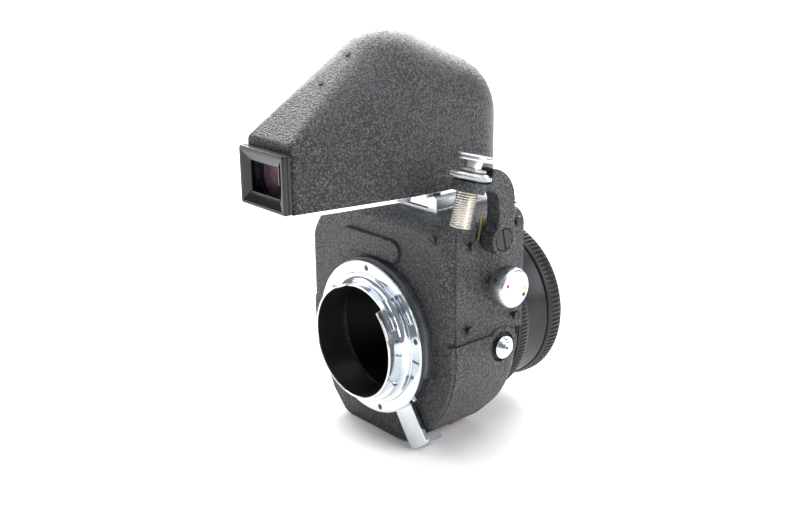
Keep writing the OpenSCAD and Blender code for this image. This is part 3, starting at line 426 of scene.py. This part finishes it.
# Grip ring and focusing ring: turned aluminium with straight ribs milled across, anodised black
gripRing = {"radius": 32.2, "bore": 27.04, "rear": 41.8, "width": 6.7, "ribs": 140, "ribWidth": 0.8,
            "ribHeight": 0.5}

size = gripRing
core = size["radius"] - size["ribHeight"] * 0.7
gripFront = size["rear"] + size["width"]
body = turnedMesh("gripCore", eased([
    (size["bore"], size["rear"], 0), (core - 0.5, size["rear"], 0.25), (core - 0.5, size["rear"] + 0.8, 0),
    (core, size["rear"] + 0.9, 0.1), (core, gripFront - 0.9, 0.1), (core - 0.5, gripFront - 0.8, 0),
    (core - 0.5, gripFront, 0.25), (size["bore"], gripFront, 0),
]), opticalAxis)
newPiece("gripRingRibbed", ribbed("gripRingRibbed", body, made["blackAnodised"], opticalAxis, size, core,
                                  size["width"] - 1.8, size["rear"] + size["width"] / 2),
         made["blackAnodised"], "housing", ["focus_grip_ring"])

focusRing = {"radius": 30.6, "bore": 27.08, "rear": 60.4, "width": 7.6, "ribs": 112, "ribWidth": 0.95,
             "ribHeight": 0.62, "lip": 24.92, "lipDepth": 0.9}

size = focusRing
core = size["radius"] - size["ribHeight"] * 0.7
front = size["rear"] + size["width"]
body = turnedMesh("focusCore", eased([
    (size["bore"], size["rear"], 0), (core - 0.4, size["rear"], 0.3), (core, size["rear"] + 0.7, 0.2),
    (core, front - 1.1, 0.2), (core - 0.9, front, 0.3), (size["lip"], front, 0.1),
    (size["lip"], front - size["lipDepth"], 0), (size["bore"], front - size["lipDepth"], 0),
]), opticalAxis, count=240)
newPiece("focusRingRibbed", ribbed("focusRingRibbed", body, made["blackAnodised"], opticalAxis, size, core,
                                   size["width"] - 1.9, size["rear"] + size["width"] / 2 - 0.2),
         made["blackAnodised"], "focus_ring", ["focus_ring"])

flaredBarrel = {"rear": 48.5, "front": 60.1, "waist": 28.2, "flare": 29.5, "bore": 26.96, "steps": 14}

size = flaredBarrel
flared = [(size["waist"] + (size["flare"] - size["waist"]) * (k / size["steps"]) ** 1.8,
           size["rear"] + (size["front"] - size["rear"]) * k / size["steps"]) for k in range(size["steps"] + 1)]
newPiece("flaredBarrel", turnedMesh(
    "flaredBarrel", [(size["bore"], size["rear"])] + flared + [(size["bore"], size["front"])],
    opticalAxis, count=240), made["blackAnodised"], "housing", ["focus_barrel"])

# Lens seat: a plain sleeve with a single-start screw thread just inside its front
lensSeat = {"bore": 19.5, "outer": 24.3, "rear": 44.0, "front": 67.8, "pitchMm": 0.9, "turns": 6,
            "depth": 0.42}


def seatThread(angle, ring):
    start = lensSeat["front"] - 1.0 - lensSeat["pitchMm"] * lensSeat["turns"]
    for point in ring:
        if point[0] < lensSeat["bore"] + 0.01 and start <= point[1] <= lensSeat["front"] - 0.9:
            wave = ((point[1] - start) / lensSeat["pitchMm"] + angle / tau) % 1.0
            point[0] = lensSeat["bore"] + lensSeat["depth"] * (1 - abs(2 * wave - 1))
    return ring


size = lensSeat
threaded = [(size["bore"], size["front"] - 1.0 - size["pitchMm"] * size["turns"] * k / 48) for k in range(49)]
newPiece("lensSeatThreaded", turnedMesh("lensSeatThreaded", [
    (size["outer"], size["rear"]), (size["outer"], size["front"] - 0.3), (size["outer"] - 0.3, size["front"]),
    (size["bore"] + 0.7, size["front"]), (size["bore"] + 0.45, size["front"] - 0.4),
] + threaded + [(size["bore"], size["rear"])], opticalAxis, shape=seatThread, sharpDeg=20),
    made["blackAnodised"], "lens_seat", ["lens_seat"])
print("focusing mount made")

# Bayonet tube: turned brass, chromed outside, with four lugs, a cut-out rim and a fillet at its foot
bayonetTube = {"radius": 20.4, "bore": 19.6, "rear": -7.6, "foot": 23.4, "footFront": 2.55, "filletMm": 2.2,
               "lugOut": 1.5, "lugRear": -4.8, "lugFront": -2.9, "lugsDeg": [42, 145, 222, 315],
               "lugHalfDeg": 16, "cutDeg": (47, 108), "cutDepth": 3.0, "rampDeg": 2.0}


def tubeShape(angle, ring):
    tube = bayonetTube
    deg = math.degrees(angle)
    if tube["cutDeg"][0] < deg < tube["cutDeg"][1]:
        near = min(deg - tube["cutDeg"][0], tube["cutDeg"][1] - deg)
        rim = tube["rear"] + tube["cutDepth"] * min(1.0, near / tube["rampDeg"] + 0.05)
        ring[:, 1] = np.where(ring[:, 1] < rim, rim + (ring[:, 1] - tube["rear"]) * 0.05, ring[:, 1])
    if not any(abs((deg - mid + 180) % 360 - 180) < tube["lugHalfDeg"] for mid in tube["lugsDeg"]):
        proud = ring[:, 0] > tube["radius"] + 0.02
        behind = (ring[:, 1] < tube["lugFront"] + 0.05) & (ring[:, 1] > tube["lugRear"] - 0.05)
        ring[proud & behind, 0] = tube["radius"]
    return ring


size = bayonetTube
lugR = size["radius"] + size["lugOut"]
fillet = [(size["radius"] + size["filletMm"] * (1 - math.cos(a)),
           -0.35 - size["filletMm"] * (1 - math.sin(a)))
          for a in np.linspace(0, math.pi / 2, 10)]
newPiece("bayonetTube", turnedMesh("bayonetTube", [
    (size["bore"], size["rear"] + 0.25), (size["bore"] + 0.2, size["rear"]),
    (size["radius"] - 0.25, size["rear"]), (size["radius"], size["rear"] + 0.25),
    (size["radius"], size["lugRear"] - 0.01), (lugR - 0.15, size["lugRear"]), (lugR, size["lugRear"] + 0.15),
    (lugR, size["lugFront"] - 0.15), (lugR - 0.15, size["lugFront"]),
    (size["radius"], size["lugFront"] + 0.01),
] + fillet + [
    (size["foot"] - 0.12, -0.35), (size["foot"], -0.23), (size["foot"], size["footFront"]),
    (size["bore"], size["footFront"]),
], opticalAxis, count=360, shape=tubeShape, sharpDeg=28), made["chromePlate"], "bayonet",
["bayonet_ring"])

# the tube is blackened inside, so a thin dark liner lies in its bore
boreLiner = {"outer": 19.58, "inner": 19.48, "rear": -4.5, "front": 4.3, "rimRear": -7.4, "cutDeg": (46, 109)}


def linerShape(angle, ring):
    if not boreLiner["cutDeg"][0] < math.degrees(angle) < boreLiner["cutDeg"][1]:
        ring[:, 1] = np.where(ring[:, 1] < boreLiner["rear"] + 0.01, boreLiner["rimRear"], ring[:, 1])
    return ring


size = boreLiner
newPiece("boreLiner", turnedMesh("boreLiner", [
    (size["outer"], size["rear"]), (size["outer"], size["front"]), (size["inner"], size["front"]),
    (size["inner"], size["rear"]),
], opticalAxis, count=360, shape=linerShape), made["blackenedBore"], "bayonet")
print("bayonet made")

# Control knob: satin chrome, fluted, with three painted dots and a set screw in its side
knob = {"radius": 6.9, "rear": 39.3, "front": 45.7, "y": 25.7, "z": 23.7, "ribs": 50, "ribWidth": 0.48,
        "ribHeight": 0.34, "dotRadius": 0.66, "setScrewRadius": 0.75}

size = knob
knobAxis = facing(0, size["y"], size["z"], (1, 0, 0))
core = size["radius"] - size["ribHeight"] * 0.8
body = turnedMesh("knobCore", eased([
    (0, size["rear"], 0), (core - 0.5, size["rear"], 0.3), (core, size["rear"] + 0.5, 0.2),
    (core, size["front"] - 0.9, 0.2), (core - 0.15, size["front"] - 0.5, 0),
    (core - 0.5, size["front"] - 0.08, 0.12), (0, size["front"], 0),
]), knobAxis, count=160)
newPiece("flutedKnob", ribbed("flutedKnob", body, made["satinChrome"], knobAxis, size, core,
                              size["front"] - size["rear"] - 1.3, (size["front"] + size["rear"]) / 2 - 0.1),
         made["satinChrome"], "mirror_knob", ["knob"])
for name, dy, dz, paint in [("redDot", -3.64, 1.71, "redEnamel"), ("yellowDot", 4.53, -0.64, "yellowEnamel"),
                            ("blackDot", 3.93, -2.71, "blackEnamel")]:
    r = size["dotRadius"]
    dot = turnedMesh(name, [(0, 0.09), (r * 0.6, 0.08), (r * 0.9, 0.05), (r, -0.02), (r * 0.8, -0.1),
                            (0, -0.1)],
                     facing(size["front"], size["y"] + dy, size["z"] + dz, (1, 0, 0)), count=24)
    newPiece(name, dot, made[paint], "mirror_knob", ["knob_dots"] if name == "redDot" else [])
r = size["setScrewRadius"]
side = (0, -math.sin(math.radians(60)), math.cos(math.radians(60)))
newPiece("knobSetScrew", turnedMesh("knobSetScrew", [
    (0, -0.3), (r * 0.45, -0.3), (r * 0.5, 0.05), (r * 0.8, 0.12), (r, 0.05), (r, -0.8), (0, -0.8),
], facing(42.0, size["y"] + side[1] * size["radius"], size["z"] + side[2] * size["radius"], side), count=24),
    made["paintedScrew"], "mirror_knob", ["knob_set_screw"])
print("knob made")

# Plunger: a threaded barrel with a knurled lock nut and a push button, leaning forwards on the arm
plunger = {"x": 39.4, "tipY": 6.1, "tipZ": 47.2, "leanDeg": 15.8, "radius": 3.55, "pitchMm": 0.8,
           "depth": 0.34, "top": 19.1, "collarRear": 18.2, "collarRadius": 4.7, "bore": 1.26, "neckBore": 2.96,
           "neckFloor": 14}

lean = math.radians(plunger["leanDeg"])
plungerAxis = facing(plunger["x"], plunger["tipY"], plunger["tipZ"], (0, math.sin(lean), math.cos(lean)))


def plungerThread(angle, ring):
    for point in ring:
        if abs(point[0] - plunger["radius"]) < 0.01 and 0.7 < point[1] < plunger["collarRear"] - 0.5:
            wave = (point[1] / plunger["pitchMm"] - angle / tau) % 1.0
            point[0] -= plunger["depth"] * (1 - abs(2 * wave - 1)) ** 0.8
    return ring


size = plunger
side = [(size["radius"], 0.6 + (size["collarRear"] - 0.7) * k / 150) for k in range(151)]
newPiece("plungerScrew", turnedMesh("plungerScrew", [
    (size["bore"], 0), (size["radius"] - 0.5, 0), (size["radius"] - 0.1, 0.35)] + side + [
    (size["collarRadius"] - 0.3, size["collarRear"]), (size["collarRadius"], size["collarRear"] + 0.3),
    (size["collarRadius"], size["top"] - 0.3), (size["collarRadius"] - 0.3, size["top"]),
    (size["neckBore"], size["top"]), (size["neckBore"], size["neckFloor"]), (size["bore"], size["neckFloor"]),
], plungerAxis, count=56, shape=plungerThread, sharpDeg=24), made["turnedSteel"], "plunger",
    ["plunger_barrel"])

lockNut = {"rear": 15.5, "front": 17.9, "radius": 6.7, "bore": 3.61, "ribs": 54, "ribWidth": 0.5,
           "ribHeight": 0.4}

size = lockNut
core = size["radius"] - size["ribHeight"] * 0.8
body = turnedMesh("nutCore", eased([
    (size["bore"], size["rear"], 0.2), (core - 1.0, size["rear"], 0.2),
    (core - 0.1, size["rear"] + 0.65, 0.2),
    (core, size["front"] - 0.65, 0.2), (core - 0.9, size["front"], 0.2), (size["bore"], size["front"], 0.2),
]), plungerAxis, count=108)
newPiece("knurledLockNut", ribbed("knurledLockNut", body, made["satinChrome"], plungerAxis, size, core,
                                  size["front"] - size["rear"] - 1.1, (size["front"] + size["rear"]) / 2),
         made["satinChrome"], "lock_nut", ["plunger_lock_nut"])

pushButton = {"rear": 21.7, "thick": 1.8, "radius": 6.1, "neck": 2.9, "neckRear": 16.2, "pin": 1.2}

size = pushButton
top = size["rear"] + size["thick"]
newPiece("pushButton", turnedMesh("pushButton", eased([
    (0, 0.15, 0), (size["pin"], 0, 0.25), (size["pin"], size["neckRear"], 0),
    (size["neck"], size["neckRear"], 0.2),
    (size["neck"], size["rear"], 0), (size["radius"], size["rear"], 0.35), (size["radius"], top, 0.4),
    (size["radius"] * 0.75, top, 0), (size["radius"] * 0.68, top - 0.12, 0), (0, top - 0.16, 0),
]), plungerAxis, count=112), made["satinChrome"], "push_button", ["plunger_button"])
print("plunger made")


# Cast pieces: the exact shape, filled with small cubes of one size and then smoothed, rounds its
# edges as a sand-free casting under thick paint does
castArm = {"voxelMm": 0.24, "passes": 9}


def castCopy(name, node, look):
    form = bmesh.new()
    form.from_mesh(cadNodes[node].data)
    bmesh.ops.remove_doubles(form, verts=form.verts, dist=1e-6)
    start = bpy.data.meshes.new(name + "Start")
    form.to_mesh(start)
    form.free()
    start.materials.clear()
    helper = bpy.data.objects.new(name + "Start", start)
    bpy.context.scene.collection.objects.link(helper)
    cubes = helper.modifiers.new("cubes", "REMESH")
    cubes.mode, cubes.voxel_size = "VOXEL", look["voxelMm"] * mm
    ease = helper.modifiers.new("ease", "SMOOTH")
    ease.factor, ease.iterations = 0.5, look["passes"]
    mesh = bpy.data.meshes.new_from_object(helper.evaluated_get(bpy.context.evaluated_depsgraph_get()))
    bpy.data.objects.remove(helper)
    mesh.name = name
    mesh.polygons.foreach_set("use_smooth", [True] * len(mesh.polygons))
    return mesh


newPiece("castArm", castCopy("castArm", "release_arm", castArm), castEnamel, "release_arm",
         ["release_arm"])
print("release arm made")


# points of an arc in degrees about a centre
def arc(y, z, r, startDeg, endDeg, steps=10):
    return [(y + r * math.cos(a), z + r * math.sin(a))
            for a in np.radians(np.linspace(startDeg, endDeg, steps + 1))]


# moves an anticlockwise outline inwards by an even distance
def insetOutline(outline, distance):
    points = np.array(outline)
    ahead = np.roll(points, -1, axis=0) - points
    ahead /= np.linalg.norm(ahead, axis=1)[:, None]
    normal = np.column_stack([-ahead[:, 1], ahead[:, 0]])
    before = np.roll(normal, 1, axis=0)
    share = 1 + np.sum(normal * before, axis=1)
    return points + distance * (normal + before) / np.maximum(share, 0.5)[:, None]


# a plate with an outline, its outer edge rounded; point(u, v, height) gives each place
def roundedPlate(name, outline, low, high, roundMm, point, steps=6):
    layers = [(0.0, low), (0.0, high - roundMm)]
    for a in np.linspace(0, math.pi / 2, steps + 1)[1:]:
        layers.append((roundMm * (1 - math.cos(a)), high - roundMm * (1 - math.sin(a))))
    n = len(outline)
    verts = [tuple(c * mm for c in point(u, v, height))
             for inset, height in layers for u, v in insetOutline(outline, inset)]
    faces = [(k * n + i, k * n + (i + 1) % n, (k + 1) * n + (i + 1) % n, (k + 1) * n + i)
             for k in range(len(layers) - 1) for i in range(n)]
    faces += [tuple(range(n)), tuple((len(layers) - 1) * n + i for i in range(n))]
    mesh = bpy.data.meshes.new(name)
    mesh.from_pydata(verts, [], faces)
    return finishMesh(mesh)


# a solid cylinder as a cutting tool
def plugMesh(name, r, low, high, place, count=40):
    return turnedMesh(name, [(0, low), (r, low), (r, high), (0, high)], place, count=count)


def cutMesh(name, outer, inners):
    base = bpy.data.objects.new(name, outer)
    bpy.context.scene.collection.objects.link(base)
    tools = []
    for inner in inners:
        tool = bpy.data.objects.new(inner.name, inner)
        bpy.context.scene.collection.objects.link(tool)
        cut = base.modifiers.new("cut", "BOOLEAN")
        cut.object, cut.operation, cut.solver = tool, "DIFFERENCE", "EXACT"
        tools.append(tool)
    mesh = bpy.data.meshes.new_from_object(base.evaluated_get(bpy.context.evaluated_depsgraph_get()))
    for extra in tools + [base]:
        bpy.data.objects.remove(extra)
    mesh.name = name
    return finishMesh(mesh, 30)


# Side cover: a thick plate with a broad soft edge, notched for the arm and bored for its screws
sideCover = {"y": (6.2, 38.3), "z": (6.4, 43.8), "top": 48.2, "cornerMm": 3.2, "x": (36.5, 39.0),
             "roundMm": 1.9, "notch": (23.2, 40.4, 6.4), "notchFloor": 41.4, "step": 13.8, "knobBore": 2.06,
             "screws": [(13.8, 39.2), (12.8, 10.0), (34.7, 10.0), (34.7, 43.6)], "screwBore": 1.78}

size = sideCover
r = size["cornerMm"]
(y0, y1), (z0, z1), (ny, nz, nr) = size["y"], size["z"], size["notch"]
sink = math.degrees(math.asin((size["notchFloor"] - nz) / nr))
outline = arc(y0 + r, z0 + r, r, 180, 270) + arc(y1 - r, z0 + r, r, 270, 360) \
    + arc(y1 - r, size["top"] - r, r, 0, 90) + [(ny + nr, size["top"]), (ny + nr, size["notchFloor"])] \
    + arc(ny, nz, nr, sink - 2, -180 - sink + 2, 24)[1:-1] \
    + [(size["step"], size["notchFloor"]), (size["step"], z1)] + arc(y0 + 1.2, z1 - 1.2, 1.2, 90, 180, 4)
plate = roundedPlate("coverPlate", outline, size["x"][0], size["x"][1], size["roundMm"],
                     lambda u, v, h: (h, u, v))
holes = [plugMesh(f"screwBore{i}", size["screwBore"], -1.3, 2, facing(size["x"][1], y, z, (1, 0, 0)))
         for i, (y, z) in enumerate(size["screws"])]
holes.append(plugMesh("knobBore", size["knobBore"], -4, 2,
                      facing(size["x"][1], knob["y"], knob["z"], (1, 0, 0))))
newPiece("softSideCover", cutMesh("softSideCover", plate, holes), castEnamel, "housing",
         ["side_cover"])

# Blanking plate above the bayonet: an oval cover, with a thin flat black ring round it as painted shadow of the
# gap at its edge
blankPlate = {"x": -3.0, "z": 32.5, "half": 11.2, "r": 3.9, "y": (4.5, 3.6), "roundMm": 0.5, "gapShadowMm": 0.5}

size = blankPlate
oval = arc(size["half"], 0, size["r"], -90, 90, 16) + arc(-size["half"], 0, size["r"], 90, 270, 16)


def onRearFace(u, v, height):
    return blankPlate["x"] + u, blankPlate["y"][0] - height, blankPlate["z"] + v


newPiece("blankingPlate", roundedPlate("blankingPlate", oval, 0, size["y"][0] - size["y"][1], size["roundMm"],
                                       onRearFace), castEnamel, "housing", ["blank_plate"])
# painted shadow: a flat black ring laid on the cover where the gap round the plate is in shade
newPiece("plateGapShadow", roundedPlate("plateGapShadow", insetOutline(oval, -size["gapShadowMm"]).tolist(),
                                    -0.1, 0.16, 0.05, onRearFace), made["flatBlack"], "housing")
print("plates made")

# Finder cowl: a thin cast cover, the tight skin over a row of round forms, hollow and open below
finderCowl = {"halfWidth": 22.0, "rearHalf": 12.7, "back": -38.5, "front": 48.0, "base": 54.3, "height": 51.5,
              "wall": 2.2, "rearRound": 2.6, "rearTop": 76.9, "domeY": 9.7, "domeRadius": 20.5,
              "frontRound": 16.0, "frontArc": 21.0, "frontZ": 75.8, "windowHalf": (8.5, 5.9), "eyeZ": 63.7}


def ballPoints(x, y, z, r, around, up):
    return [(x + r * math.sin(p) * math.cos(a), y + r * math.sin(p) * math.sin(a), z + r * math.cos(p))
            for p in np.linspace(0, math.pi, up + 1) for a in np.linspace(0, tau, around, endpoint=False)]


def discPoints(x, y, z, r, around):
    return [(x + r * math.cos(a), y + r * math.sin(a), z)
            for a in np.linspace(0, tau, around, endpoint=False)]


def cowlForm(name, inset, low):
    f = finderCowl
    points = []
    r = f["rearRound"] - inset / 2
    rearX, rearY = f["rearHalf"] - inset - r, f["back"] + inset + r
    frontX, frontY = f["halfWidth"] - f["frontRound"], f["front"] - f["frontRound"]
    frontR = f["frontRound"] - inset
    for side in (-1, 1):
        points += ballPoints(side * rearX, rearY, f["rearTop"] - inset - r, r, 32, 16)
        points += discPoints(side * rearX, rearY, low, r, 32)
        for tilt in (8, 20, 32, 44, 56, 68, 80):
            t = math.radians(tilt)
            y = f["front"] - f["frontArc"] * (1 - math.cos(t)) - f["frontRound"] * math.cos(t)
            z = f["frontZ"] + (f["frontArc"] - f["frontRound"]) * math.sin(t)
            points += ballPoints(side * frontX, y, z, frontR, 48, 24)
        for z in (low, f["frontZ"]):
            points += discPoints(side * frontX, frontY, z, frontR, 64)
        for z in (low, f["base"] + 25):
            points += discPoints(side * (f["halfWidth"] - 3.2 - inset), 3, z, 2, 24)
    points += ballPoints(0, f["domeY"], f["base"] + f["height"] - f["domeRadius"],
                         f["domeRadius"] - inset, 96, 48)
    form = bmesh.new()
    for p in points:
        form.verts.new(Vector(p) * mm)
    bmesh.ops.convex_hull(form, input=form.verts)
    bmesh.ops.delete(form, geom=[v for v in form.verts if not v.link_faces], context="VERTS")
    mesh = bpy.data.meshes.new(name)
    form.to_mesh(mesh)
    form.free()
    return finishMesh(mesh)


def boxMesh(name, low, high):
    form = bmesh.new()
    bmesh.ops.create_cube(form, size=1.0)
    for v in form.verts:
        v.co = Vector([(low[i] + high[i]) / 2 + v.co[i] * (high[i] - low[i]) for i in range(3)]) * mm
    mesh = bpy.data.meshes.new(name)
    form.to_mesh(mesh)
    form.free()
    return mesh


size = finderCowl
halfW, halfH = size["windowHalf"]
cowl = cutMesh("finderCowl", cowlForm("cowlSkin", 0, size["base"]), [
    cowlForm("cowlHollow", size["wall"], size["base"] - 1),
    boxMesh("eyeOpening", (-halfW, size["back"] - 1, size["eyeZ"] - halfH),
            (halfW, size["back"] + 2 * size["wall"] + 1, size["eyeZ"] + halfH)),
])
newPiece("finderCowl", cowl, castEnamel, "finder", ["finder_shell"])
print("finder cowl made:", len(cowl.polygons), "faces")

# Eyepiece frame: square rings of (half width, half height, y, corner radius), joined in order, so
# the front slopes in to the window and the sides carry two shallow steps
eyepieceFrame = {"z": 63.7, "cornerSteps": 4, "rings": [
    (12.0, 9.4, -38.5, 0.5), (12.0, 9.4, -39.6, 0.5), (11.75, 9.15, -39.65, 0.5), (11.75, 9.15, -40.0, 0.5),
    (12.0, 9.4, -40.05, 0.5), (12.0, 9.4, -41.1, 0.5), (11.6, 9.0, -41.5, 0.5), (10.9, 8.3, -41.5, 0.4),
    (10.5, 7.9, -41.35, 0.3), (8.1, 5.5, -40.3, 0.25), (7.6, 5.0, -40.0, 0.2), (7.5, 4.9, -38.5, 0.2),
]}


def squareLoft(name, look):
    steps = look["cornerSteps"]
    verts = []
    for w, h, y, r in look["rings"]:
        for cx, cz, start in ((w - r, h - r, 0), (r - w, h - r, 90), (r - w, r - h, 180),
                              (w - r, r - h, 270)):
            verts += [(x * mm, y * mm, (look["z"] + z) * mm)
                      for x, z in arc(cx, cz, r, start, start + 90, steps)]
    n, count = 4 * (steps + 1), len(look["rings"])
    faces = [(k * n + i, k * n + (i + 1) % n, (k + 1) % count * n + (i + 1) % n, (k + 1) % count * n + i)
             for k in range(count) for i in range(n)]
    mesh = bpy.data.meshes.new(name)
    mesh.from_pydata(verts, [], faces)
    return finishMesh(mesh, 25)


newPiece("eyepieceFrame", squareLoft("eyepieceFrame", eyepieceFrame), made["mouldedPlastic"], "finder",
         ["eyepiece_frame"])
print("eyepiece made")

# Floor: a matt white paper sweep
sweep = bpy.data.meshes.new("sweep")
low, reach = cadBox[0][2], 6.0
sweep.from_pydata([(-reach, -reach, low), (reach, -reach, low), (reach, reach, low), (-reach, reach, low)],
                  [], [(0, 1, 2, 3)])
floor = bpy.data.objects.new("sweep", sweep)
bpy.context.scene.collection.objects.link(floor)
paper, paperTree, paperShader, paperWhere = newMaterial("paperSweep", Roughness=0.8)
fibre = addNode(paperTree, "ShaderNodeTexNoise", {"Vector": paperWhere, "Scale": 900.0})
paperTone = addNode(paperTree, "ShaderNodeMix",
                    {0: fibre.outputs["Fac"], 6: linear("#f6f5f3"), 7: linear("#fbfbfa")}, data_type="RGBA")
paperTree.links.new(paperTone.outputs[2], paperShader.inputs["Base Color"])
sweep.materials.append(paper)

# Light: an even room, a broad soft box above, one behind for the gleam on top, one on each side
studio = {"room": "#c8cbd0", "roomStrength": 0.5, "boxes": {
    "overheadBox": {"place": (-0.2, 0.3, 2.0), "size": (2.4, 2.4), "watts": 60, "tint": "#ffffff"},
    "leftBox": {"place": (-1.2, -0.5, 0.9), "size": (0.8, 1.0), "watts": 6, "tint": "#fffaf4"},
    "backBox": {"place": (-1.3, 1.1, 0.85), "size": (2.2, 1.2), "watts": 60, "tint": "#ffffff"},
    "rightBox": {"place": (1.5, 0.5, 0.9), "size": (1.0, 1.2), "watts": 24, "tint": "#ffffff"},
}}
world = bpy.data.worlds.new("studio")
bpy.context.scene.world = world
world.use_nodes = True
world.node_tree.nodes["Background"].inputs["Color"].default_value = linear(studio["room"])
world.node_tree.nodes["Background"].inputs["Strength"].default_value = studio["roomStrength"]
for name, look in studio["boxes"].items():
    data = bpy.data.lights.new(name, "AREA")
    data.shape, data.energy = "RECTANGLE", look["watts"]
    data.size, data.size_y = look["size"]
    data.color = linear(look["tint"])[:3]
    lamp = bpy.data.objects.new(name, data)
    bpy.context.scene.collection.objects.link(lamp)
    lamp.location = look["place"]
    lamp.rotation_euler = (Vector((0, 0, 0.04)) - Vector(look["place"])).to_track_quat("-Z", "Y").to_euler()
bpy.context.scene.view_settings.view_transform = "Standard"

# Camera: place in millimetres, turn in degrees
camera = {"place": (282.0, -228.3, 147.3), "azimuthDeg": 49.62, "elevationDeg": 18.23, "rollDeg": -0.735,
          "lensMm": 51.09, "sensorMm": 36.0}
a, e, r = (math.radians(camera[key]) for key in ("azimuthDeg", "elevationDeg", "rollDeg"))
back = Vector((math.sin(a) * math.cos(e), -math.cos(a) * math.cos(e), math.sin(e)))
right = Vector((math.cos(a), math.sin(a), 0))
up = back.cross(right)
turn = Matrix((right * math.cos(r) + up * math.sin(r), up * math.cos(r) - right * math.sin(r),
               back)).transposed()
lensData = bpy.data.cameras.new("viewCamera")
lensData.sensor_width, lensData.lens, lensData.clip_start = camera["sensorMm"], camera["lensMm"], 0.01
viewer = bpy.data.objects.new("viewCamera", lensData)
bpy.context.scene.collection.objects.link(viewer)
viewer.matrix_world = Matrix.Translation(Vector(camera["place"]) * mm) @ turn.to_4x4()
bpy.context.scene.camera = viewer
print("floor, light and camera set")
